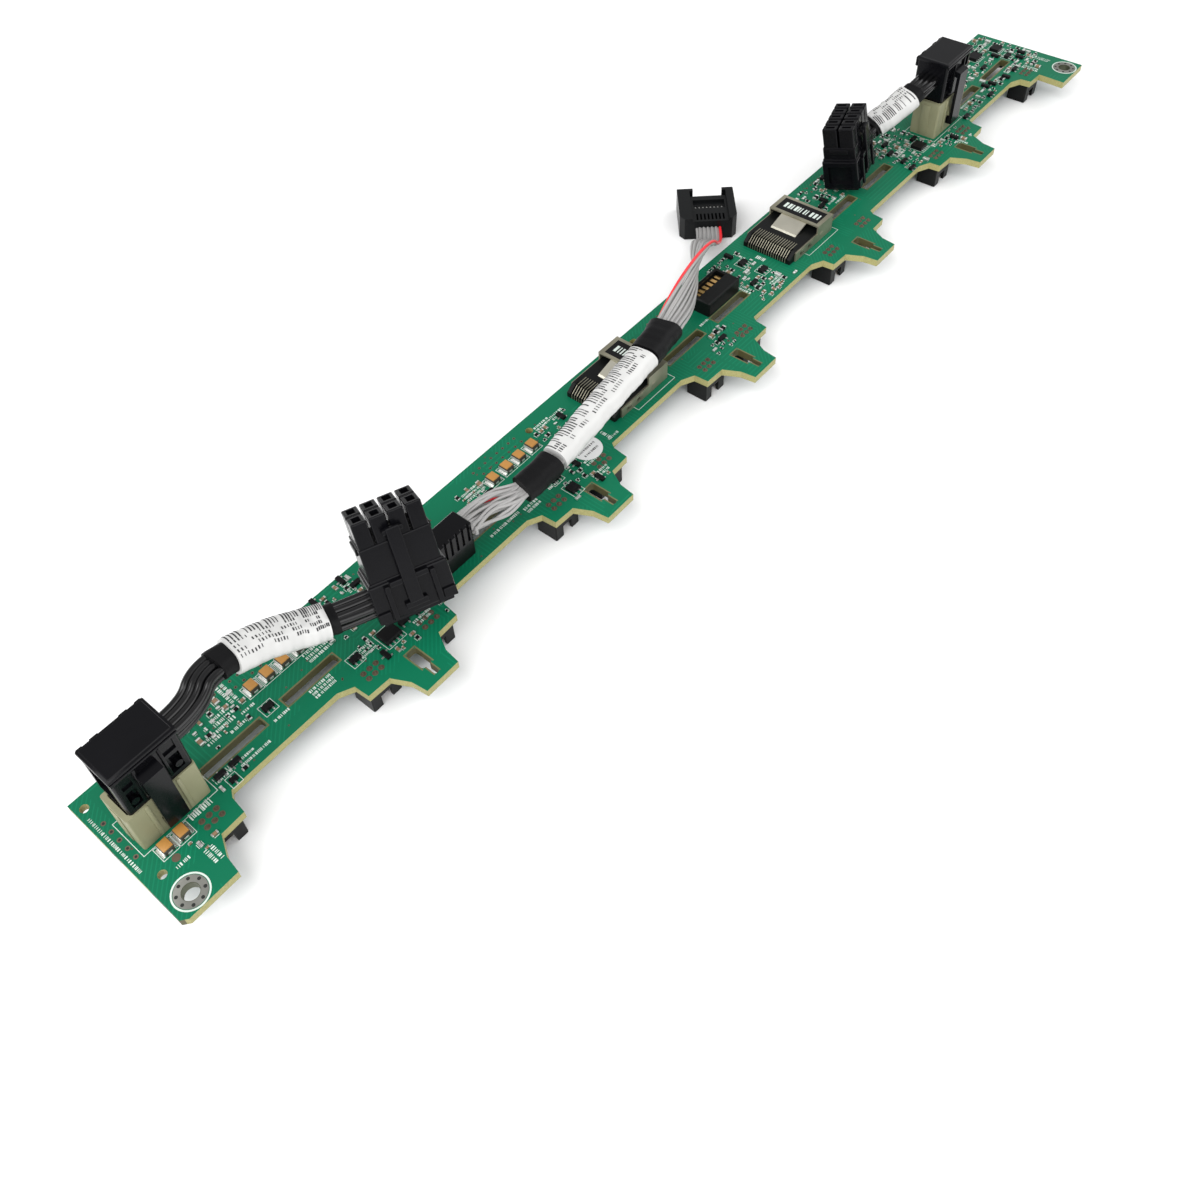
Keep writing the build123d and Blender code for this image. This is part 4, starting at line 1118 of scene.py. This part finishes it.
class SmallParts:
    """Chip resistors, capacitors and transistors, set out by chance inside the zones."""

    def __init__(self) -> None:
        """Start the meshes and note what is in the way."""
        self.bodies = {name: Shape("small_parts_" + name) for name in ("brown", "black", "grey")}
        self.ends = Shape("small_part_ends")
        self.marks = Shape("small_part_print")
        self.taken = self.blocked()

    @staticmethod
    def blocked() -> list[tuple[float, float, float, float]]:
        """List the rectangles that hold larger things.

        Returns:
            The low and high x and the low and high y of each.
        """
        found = list(LARGE_THINGS)
        for i in range(DRIVES):
            start = DRIVE_FIRST + i * DRIVE_PITCH
            found += [(start - 2.2, start + 16.7, -20.0, -15.5), (start + 21.8, start + 39.4, -20.0, -15.5)]
        for i in range(TABS):
            x = TAB_FIRST + i * TAB_PITCH
            found.append((x - 2.8, x + 2.8, -42.0, -29.9))
            found += [(x - 13.4, x - 5.4, -30.4, -25.2), (x + 5.4, x + 13.4, -30.4, -25.2)]
        rim = 0.8
        for x, y, a, b in CHIP_SPOTS:
            found.append((x - a / 2 - rim, x + a / 2 + rim, y - b / 2 - rim, y + b / 2 + rim))
        return found

    def free(self, x: float, y: float, long: float, wide: float) -> bool:
        """Tell whether a rectangle is clear, and claim it if so.

        Args:
            x: The rectangle's middle along the board.
            y: Its middle across the board.
            long: Its length along the board.
            wide: Its width across it.

        Returns:
            True if it was clear.
        """
        box = (x - long / 2, x + long / 2, y - wide / 2, y + wide / 2)
        if any(box[0] < t[1] and box[1] > t[0] and box[2] < t[3] and box[3] > t[2] for t in self.taken):
            return False
        if not on_board(x, y, long / 2, wide / 2):
            return False
        self.taken.append(box)
        return True

    def part(self, x: float, y: float, rng: random.Random) -> None:
        """Set one small part, if there is room.

        Args:
            x: Its place along the board.
            y: Its place across the board.
            rng: The source of its size and kind.
        """
        long, wide, high = rng.choice(PART_SIZES)
        along = rng.random() < 0.55
        turn = 0.0 if along else math.pi / 2
        size = (long, wide) if along else (wide, long)
        if not self.free(x, y, size[0] + PART_GAP, size[1] + PART_GAP):
            return
        transistor = long > TRANSISTOR_L
        kind = "black" if transistor else rng.choice(("brown", "black", "black", "grey"))
        body = (long if transistor else long * 0.62, wide * 0.94, high)
        self.bodies[kind].box((x, y, high / 2 + 0.02), body, 0.05, turn, segments=1)
        for side in (-1, 1):
            if transistor:
                for step in ((-0.95, 0.95) if side < 0 else (0.0,)):
                    spot = beside(x, y, turn, step, side * (wide / 2 + 0.3))
                    self.ends.box((*spot, 0.12), (0.4, 0.7, 0.24), 0, turn)
                continue
            spot = beside(x, y, turn, side * long * 0.42, 0)
            end = (long * 0.22, wide, high + 0.02)
            self.ends.box((*spot, high / 2 + 0.03), end, 0.04, turn, segments=1)
            if rng.random() < 0.6:
                spot = beside(x, y, turn, 0, side * (wide / 2 + 0.24))
                self.marks.box((*spot, Layer.PRINT.value), (long * 0.8, 0.14, MARK_T), 0, turn)

    def build(self) -> None:
        """Fill every zone and finish the meshes."""
        grid, tries = 0.6, 6
        for zone in ZONES:
            rng = random.Random(zone.seed)
            for _ in range(zone.count * tries):
                x = round(rng.uniform(*zone.x_span) / grid) * grid
                y = round(rng.uniform(*zone.y_span) / grid) * grid
                self.part(x, y, rng)
        self.bodies["brown"].finish(BROWN, "capacitor_tan", 0)
        self.bodies["black"].finish(CHIP, "chip_black", 0)
        self.bodies["grey"].finish(SOLDER, "solder", 0)
        self.ends.finish(SOLDER, "solder", 0)
        self.marks.finish(PRINT, "white_label", 0)


@dataclass(frozen=True)
class ChipLegs:
    """Gull-wing legs and outlines round the larger packages."""

    leg: Point = (0.42, 0.75, 0.26)
    leg_out: float = 0.35
    print_x: float = 0.35
    print_y: float = 0.95
    line: float = 0.14

    def build(self) -> None:
        """Set the legs on both long sides of each package."""
        legs, marks = Shape("chip_legs"), Shape("chip_outlines")
        for x, y, long, wide in CHIP_SPOTS:
            count = 4 if long > 3.5 else 2 if long > 2.4 else 1
            for i in range(count):
                spot = x + (i - (count - 1) / 2) * long / count
                for side in (-1, 1):
                    legs.box((spot, y + side * (wide / 2 + self.leg_out), 0.14), self.leg, 0.04, segments=1)
            half_x, half_y = long / 2 + self.print_x, wide / 2 + self.print_y
            marks.frame((x - half_x, x + half_x), (y - half_y, y + half_y), self.line, Layer.PRINT.value)
        legs.finish(SOLDER, "solder", 0)
        marks.finish(PRINT, "white_label", 0)


@dataclass(frozen=True)
class Capacitors:
    """The square capacitors: dark sides, bright ends and an orange-tan top."""

    body: Point = (2.7, 3.2, 1.66)
    top: Point = (2.5, 2.8, 0.40)
    end: Point = (0.34, 3.3, 1.2)
    foot: Point = (0.5, 3.0, 0.1)
    side_strip: Point = (1.1, 0.1, 0.7)
    print_half: Span = (2.15, 1.95)

    def build(self) -> None:
        """Make the three layers of every capacitor and the print round it."""
        tops, sides, ends, marks = (Shape("capacitor_" + n) for n in ("tops", "sides", "ends", "print"))
        half_x, half_y = self.print_half
        for x, y in CAP_SPOTS:
            sides.box((x, y, 0.85), self.body, 0.1)
            tops.box((x, y, 1.80), self.top, 0.12)
            for way in (-1, 1):
                ends.box((x + way * 1.36, y, 0.62), self.end, 0.1)
                ends.box((x + way * 1.75, y, 0.06), self.foot, 0.02, segments=1)
                ends.box((x, y + way * 1.62, 0.45), self.side_strip, 0.02, segments=1)
            marks.frame((x - half_x, x + half_x), (y - half_y, y + half_y), OUTLINE_W, Layer.PRINT.value)
        tops.finish(TAN, "capacitor_tan", replaces=["rear_capacitors"])
        sides.finish(CAP_SIDE, "chip_black")
        ends.finish(SOLDER, "solder")
        marks.finish(PRINT, "white_label", 0)


@dataclass(frozen=True)
class BoardFace:
    """Everything flat on the two faces: print, vias, pads, bare rims, plated ends and a sticker."""

    hole_r: float = 2.0
    barrel_r: float = 2.12
    plating_r: float = 3.8
    print_ring: Span = (3.95, 4.36)
    end_vias: int = 8
    end_via_r: float = 0.42
    end_vias_out: float = 3.1
    scattered: int = 150
    sticker_spot: Span = (154.0, -21.3)
    sticker_r: float = 4.5
    rim_w: float = 0.36

    def prints(self) -> None:
        """Lay the printed bars and the outlines of the larger connectors."""
        rng = random.Random(3)
        rear, drive = Shape("rear_print"), Shape("drive_side_print")
        for row in REAR_PRINT:
            row.draw(rear, Layer.PRINT.value, rng)
        for row in DRIVE_PRINT:
            row.draw(drive, -BOARD_T - Layer.PRINT.value, rng)
        header_y, header_size = -23.2, (19.8, 11.4)
        for x in (3.9, 341.3):
            rear.frame((x, x + header_size[0]), (header_y, header_y + header_size[1]), OUTLINE_W,
                       Layer.PRINT.value)
        for x in PORT_STARTS:
            rear.frame((x + 8.0, x + 24.6), (-23.4, -1.6), OUTLINE_W, Layer.PRINT.value)
        for x in END_HOLES_X:
            rear.ring((x, END_HOLE_Y, 0.03), *self.print_ring, MARK_T)
            drive.ring((x, END_HOLE_Y, -BOARD_T - 0.05), *self.print_ring, MARK_T)
        rear.finish(PRINT, "white_label", 0)
        drive.finish(PRINT, "white_label", 0)

    def plating(self) -> None:
        """Lay the plated rings round the end holes, with their small vias, and the barrel walls inside the
        holes in painted shade.
        """
        plate, dots, barrel = Shape("end_plating"), Shape("end_vias"), Shape("end_barrels")
        for x in END_HOLES_X:
            for level in (0.02, -BOARD_T - 0.05):
                plate.ring((x, END_HOLE_Y, level), self.barrel_r, self.plating_r, 0.03)
            # Painted shade: the barrel inside each end hole is dark for the shade there, not for its
            # plating.
            barrel.ring((x, END_HOLE_Y, -BOARD_T), self.hole_r, self.barrel_r, BOARD_T)
            for i in range(self.end_vias):
                angle = math.tau * (i + 0.4) / self.end_vias
                out = Vector((math.cos(angle), math.sin(angle), 0)) * self.end_vias_out
                dots.rod((x + out.x, END_HOLE_Y + out.y, 0.06), self.end_via_r, 0.03, 12)
        plate.finish(PLATE, "solder")
        barrel.finish(SHADED_BARREL, "solder")
        dots.finish(HOLE, "chip_black", 0)

    def vias(self) -> None:
        """Lay the plated through holes in their rows and a scatter of small ones."""
        rings, holes = Shape("via_rings"), Shape("via_holes")
        rng = random.Random(11)
        spots = [(2.7, -9.9 - 3.0 * i, 0.62) for i in range(5)]
        for start in (34.2, 128.1, 205.0, 290.0, 376.0):
            spots += [(start + 2.35 * i, -2.9, 0.42) for i in range(8)]
            spots += [(start + 1.6 + 2.55 * i, -5.3, 0.42) for i in range(7)]
        spots += [(213.4 + 1.75 * i, -26.6 - 0.42 * i, 0.4) for i in range(6)]
        blocked = SmallParts.blocked()
        for _ in range(self.scattered):
            x, y = rng.uniform(3, BOARD_L - 3), rng.uniform(-24.6, -1.4)
            held = any(t[0] < x < t[1] and t[2] < y < t[3] for t in blocked)
            if not held and on_board(x, y, 0.4, 0.4):
                spots.append((x, y, 0.26))
        for x, y, radius in spots:
            rings.rod((x, y, Layer.PAD.value), radius, MARK_T, 12)
            holes.rod((x, y, Layer.HOLE.value), radius * 0.52, MARK_T, 10)
        for i in range(FAN_SOCKETS):
            for column in (-2, 0, 2):
                for row in (-28.55, -26.55):
                    rings.rod((self.fan_centre(i) + column, row, Layer.PAD.value), 0.78, MARK_T, 14)
        rings.rod((8.1, -28.9, 0.025), 1.0, 0.03, 20)
        rings.finish(BRONZE, "gold_contact", 0)
        holes.finish(HOLE, "chip_black", 0)

    @staticmethod
    def fan_centre(index: int) -> float:
        """Give a fan socket's place along the board.

        Args:
            index: Which socket, counted from the left board end.

        Returns:
            Its x in mm.
        """
        tab = (index + 1) // 2
        side = 1 if index % 2 == 0 else -1
        return TAB_FIRST + tab * TAB_PITCH + side * 9.4

    def rims(self) -> None:
        """Lay the bare rims of the slots and keyholes on both faces."""
        rims = Shape("bare_rims")
        for level in (0.02, -BOARD_T - 0.02):
            for i in range(DRIVES):
                start = DRIVE_FIRST + i * DRIVE_PITCH
                for centre, long in ((start + 7.25, 17.5), (start + 30.6, 16.2)):
                    rims.frame((centre - long / 2, centre + long / 2), (-19.2, -16.3), 0.4, level)
            for i in range(1, TABS - 1):
                x = TAB_FIRST + i * TAB_PITCH
                for side in (-1, 1):
                    rims.box((x + side * 1.78, -33.7, level), (self.rim_w, 6.4, MARK_T))
                    rims.box((x + side * 0.88, -38.4, level), (self.rim_w, 3.2, MARK_T))
                rims.box((x, -30.42, level), (3.9, self.rim_w, MARK_T))
        rims.finish(LAMINATE, "board_green", 0)

    def sticker(self) -> None:
        """Lay the round white sticker with a few plain bars."""
        disc, bars = Shape("round_sticker"), Shape("sticker_bars")
        x, y = self.sticker_spot
        disc.rod((x, y, 0.05), self.sticker_r, 0.08, 48)
        rng = random.Random(5)
        for row, half in ((-1.8, 2.6), (0.0, 3.4), (1.8, 2.6)):
            PrintRow(x - half, y + row, 2 * half, 0.7).draw(bars, 0.1, rng)
        disc.finish(STICKER, "white_label")
        bars.finish(BAR, "black_nylon", 0)

    def build(self) -> None:
        """Make all the flat pieces."""
        self.prints()
        self.plating()
        self.vias()
        self.rims()
        self.sticker()


@dataclass(frozen=True)
class Ports:
    """What the two mini-SAS ports carry beyond their CAD bodies."""

    label: Point = (6.9, 16.4, 0.16)
    label_x: float = 19.2
    label_z: float = 5.9
    bar_w: float = 2.6
    bar_span: Span = (-6.6, 6.2)
    contacts: int = 17
    pitch: float = 0.86
    slope: float = math.atan2(2.0, 2.6)
    spring: Point = (1.6, 0.12, 1.2)
    spring_out: float = 9.24

    def build(self) -> None:
        """Make the cage labels, their plain bars, the light contact strips on the rib tops, partly contacts
        and partly painted highlight, and the side springs.
        """
        names = ("labels", "label_bars", "contacts", "springs")
        label, bars, rib_highlight_strips, springs = (Shape("port_" + name) for name in names)
        rng = random.Random(8)
        for x in PORT_STARTS:
            centre = x + self.label_x
            label.box((centre, PORT_Y, self.label_z), self.label, 0.05)
            run = self.bar_span[0]
            while run < self.bar_span[1]:
                wide = rng.choice((0.35, 0.5, 0.9))
                bars.box((centre, PORT_Y + run, self.label_z + 0.09), (self.bar_w, wide, 0.03))
                run += wide + rng.choice((0.5, 0.8))
            # The light tin strips on the rib tops stand partly for the contacts and partly as painted
            # highlight along the ribs.
            for i in range(self.contacts):
                y = PORT_Y + (i - (self.contacts - 1) / 2) * self.pitch
                rib_highlight_strips.box((x + 1.35, y, 2.66), (2.9, 0.2, 0.1), tilt=-self.slope)
                rib_highlight_strips.box((x - 0.05, y, 0.9), (0.1, 0.2, 1.4))
                rib_highlight_strips.box((x + 4.6, y, 3.63), (3.8, 0.22, 0.06))
            for side in (-1, 1):
                for along in (6.6, 11.4, 17.0):
                    spot = (x + along, PORT_Y + side * self.spring_out, 2.2)
                    springs.box(spot, self.spring, 0.05, segments=1)
        label.finish(CHIP, "chip_black", 0)
        bars.finish(PRINT, "white_label", 0)
        rib_highlight_strips.finish(TIN, "tin_plate", 0)
        springs.finish(TIN, "tin_plate", 0)


@dataclass(frozen=True)
class PlugTrim:
    """Moulded trim of the two power plugs: a lid lip, round pips in the pockets and header ribs."""

    middle: float = 9.65
    lid: Point = (16.9, 11.7, 1.1)
    pip_r: float = 0.95
    pip_out: float = 5.6
    rib_out: float = 3.1

    def build(self) -> None:
        """Make the trim of both plugs and headers."""
        trim, ribs = Shape("plug_trim"), Shape("header_ribs")
        top = HEADER_TOP + PLUG_H
        for x in PLUG_STARTS:
            middle = x + self.middle
            trim.box((middle, -16.25, top - 0.75), self.lid, 0.3)
            for side in (-1, 1):
                pip = (middle + side * self.pip_out, -21.2, HEADER_TOP + 2.9)
                trim.rod(pip, self.pip_r, 1.3, 20, lying=True)
                trim.box((middle + side * self.rib_out, -22.15, HEADER_TOP + 7.2), (0.7, 0.7, 10.8), 0.15)
            for spot, long in ((2.4, 1.6), (6.0, 2.2), (13.2, 2.2), (16.9, 1.6)):
                trim.box((x + spot, -10.35, top - 2.2), (long, 0.9, 3.2), 0.2)
            trim.box((middle, -22.1, top - 1.5), (16.6, 0.5, 0.8), 0.2)
            for side in (-1, 1):
                ribs.box((x + 9.0 + side * 4.1, -22.45, 6.6), (0.9, 0.5, 12.0), 0.12)
            ribs.box((x - 0.12, -17.5, 6.2), (0.3, 3.0, 11.0), 0.1)
        trim.finish(PLUG_BLACK, "gloss_black")
        ribs.finish(BEIGE, "beige_nylon")


@dataclass(frozen=True)
class FreeConnector:
    """A free power connector: a flared shell, square tubes, a rocking latch bar and two guides."""

    number: int
    base: Point
    along: Point
    wide: Point
    length: float
    cells: int
    window: int
    shell: Point = (19.5, 11.6, 10.0)
    core: Span = (17.5, 10.6)
    tubes_l: float = 6.5
    row: float = 2.65

    def placed(self) -> Matrix:
        """Find the connector's place.

        Returns:
            A matrix whose axes are its width, its depth and its length.
        """
        along, wide = Vector(self.along).normalized(), Vector(self.wide).normalized()
        matrix = Matrix((wide, along.cross(wide), along)).transposed().to_4x4()
        matrix.translation = Vector(self.base)
        return matrix

    def build(self) -> None:
        """Make the body and the latch as one moulded piece."""
        shape = Shape(f"free_connector_{self.number}", self.placed())
        pitch, split = self.core[0] / self.cells, self.length - self.tubes_l
        shell = shape.box((0, 0, 6.0), self.shell, 0.45)
        shape.well(shell, Vector((self.window, 0, 0)), 1.5, 4.0)
        shape.box((0, 0, split / 2), (*self.core, split), 0.3)
        shape.box((0, 0, 11.2), (18.4, 11.1, 0.9), 0.3)
        for i in range(self.cells):
            across = (i - (self.cells - 1) / 2) * pitch
            for row in (-self.row, self.row):
                tube = shape.box((across, row, self.length - 3.6), (pitch - 0.55, 4.75, 7.2), 0.32)
                shape.well(tube, Vector((0, 0, 1)), 0.62, 5.0)
        self.latch(shape, split)
        shape.finish(PLUG_BLACK, "gloss_black", 0, [f"power_connector_{self.number}"])

    def latch(self, shape: Shape, split: float) -> None:
        """Add the rocking latch bar, its bridges, the two guides and the side lugs.

        Args:
            shape: The mesh that takes them.
            split: The level at which the square tubes start.
        """
        shape.box((0, -6.5, (self.length + 1.0) / 2), (3.4, 1.2, self.length - 7.0), 0.25)
        shape.box((0, -6.4, 3.6), (5.6, 1.0, 1.6), 0.25)
        shape.box((0, -5.9, 10.2), (9.6, 1.5, 1.4), 0.25)
        shape.box((0, -5.9, self.length - 4.0), (5.0, 1.4, 1.2), 0.2)
        for side in (-1, 1):
            shape.box((side * 5.6, -6.15, 5.7), (1.3, 1.5, 9.2), 0.25)
            shape.box((side * 8.1, -6.0, 2.6), (3.2, 0.9, 2.6), 0.2)
            shape.box((side * 8.9, 0, split - 1.2), (0.7, 6.0, 1.6), 0.2)


FREE_ONE = FreeConnector(
    number=1, base=(83.2, -27.5, 9.5), along=(0.150102, 0.380258, 0.912619),
    wide=(0.918591, -0.394979, 0.01349), length=27.0, cells=4, window=1,
)
FREE_TWO = FreeConnector(
    number=2, base=(303.5, -12.4, 2.6), along=(-0.066994, 0.192983, 0.978912),
    wide=(0.960205, 0.27909, 0.010694), length=22.0, cells=5, window=-1,
)


@dataclass(frozen=True)
class FarConnector:
    """The light contacts in the windows of the flat connector on the ground."""

    contacts: int = 8
    pitch: float = 1.25
    first: Point = (1.9, -0.8, 5.35)
    size: Point = (1.6, 0.42, 0.5)
    heading: Point = (0.76, 0.65, 0)
    reach: float = 0.0075

    def build(self) -> None:
        """Make the contacts."""
        pins = Shape("far_contacts", TO_FRAME.inverted() @ self.placed() @ Matrix.Scale(MM, 4))
        x, y, z = self.first
        for i in range(self.contacts):
            across = y + (i - (self.contacts - 1) / 2) * self.pitch
            pins.box((x, across, z), self.size)
        pins.finish(SOLDER, "gold_contact", 0)

    def placed(self) -> Matrix:
        """Find the connector's place in frame metres.

        Returns:
            A matrix whose first axis is the way the cable enters.
        """
        ahead, up = Vector(self.heading).normalized(), Vector((0, 0, 1))
        matrix = Matrix((ahead, up.cross(ahead), up)).transposed().to_4x4()
        tail = Vector(SIGNAL[-1])
        matrix.translation = Vector((tail.x, tail.y, 0)) + ahead * self.reach
        return matrix


@dataclass(frozen=True)
class Camera:
    """The upper view's camera."""

    spot: Point = (-0.2240, -0.1527, 0.2463)
    right: Point = (0.6496, -0.7582, -0.0572)
    up: Point = (0.5898, 0.4549, 0.6672)
    back: Point = (-0.4798, -0.4671, 0.7427)
    lens: float = 35.93
    shift: Span = (0.0351, -0.0935)
    pixels: int = 1200

    def build(self) -> None:
        """Place the camera and set the picture's shape."""
        data = bpy.data.cameras.new("camera")
        data.lens = self.lens
        data.sensor_width = 36.0
        data.sensor_fit = "HORIZONTAL"
        data.shift_x, data.shift_y = self.shift
        data.clip_start = 0.01
        camera = bpy.data.objects.new("camera", data)
        bpy.context.scene.collection.objects.link(camera)
        turn = Matrix((self.right, self.up, self.back)).transposed()
        camera.matrix_world = Matrix.Translation(self.spot) @ turn.to_4x4()
        scene = bpy.context.scene
        scene.camera = camera
        scene.render.resolution_x = scene.render.resolution_y = self.pixels
        scene.render.resolution_percentage = 100


@dataclass(frozen=True)
class Studio:
    """A pale floor, soft lights and an even sky."""

    floor_half: float = 4.0
    floor_z: float = -0.0002
    sky: float = 0.55

    def light(self, name: str, spot: Point, size: float, power: float) -> None:
        """Add one square soft light that looks at the board's middle.

        Args:
            name: The light's name.
            spot: Its place in metres.
            size: Its side in metres.
            power: Its power in watts.
        """
        data = bpy.data.lights.new(name, "AREA")
        data.size = size
        data.energy = power
        lamp = bpy.data.objects.new(name, data)
        lamp.location = spot
        lamp.rotation_euler = (-Vector(spot)).to_track_quat("-Z", "Y").to_euler()
        bpy.context.scene.collection.objects.link(lamp)

    def build(self) -> None:
        """Make the floor, the lights and the world."""
        mesh = bpy.data.meshes.new("floor")
        bm = bmesh.new()
        bmesh.ops.create_grid(bm, x_segments=1, y_segments=1, size=self.floor_half)
        bmesh.ops.translate(bm, verts=bm.verts, vec=(0, 0, self.floor_z))
        bm.to_mesh(mesh)
        bm.free()
        mesh.materials.append(FLOOR.build())
        floor = bpy.data.objects.new("floor", mesh)
        bpy.context.scene.collection.objects.link(floor)
        self.light("key", (-0.8, 0.1, 0.8), 1.1, 13.0)
        self.light("fill", (-0.3, -0.9, 0.8), 1.2, 8.0)
        self.light("rim", (0.9, -0.35, 0.7), 0.9, 4.5)
        world = bpy.data.worlds.new("sky")
        world.use_nodes = True
        sky = world.node_tree.nodes["Background"]
        sky.inputs["Color"].default_value = (1, 1, 1, 1)
        sky.inputs["Strength"].default_value = self.sky
        scene = bpy.context.scene
        scene.world = world
        scene.view_settings.view_transform = "Standard"
        scene.view_settings.look = "None"
        scene.view_settings.exposure = 0.0


def main() -> None:
    """Build the camera, the studio and every sub-assembly."""
    Camera().build()
    Studio().build()
    CadLook().build()
    BoardFace().build()
    SmallParts().build()
    ChipLegs().build()
    Capacitors().build()
    Ports().build()
    PlugTrim().build()
    FREE_ONE.build()
    FREE_TWO.build()
    FarConnector().build()
    PowerLead(1, LEAD_ONE, 0.367, 0.807).build()
    PowerLead(2, LEAD_TWO, 0.284, 0.711).build()
    SignalCable().build()


if __name__ == "__main__":
    main()
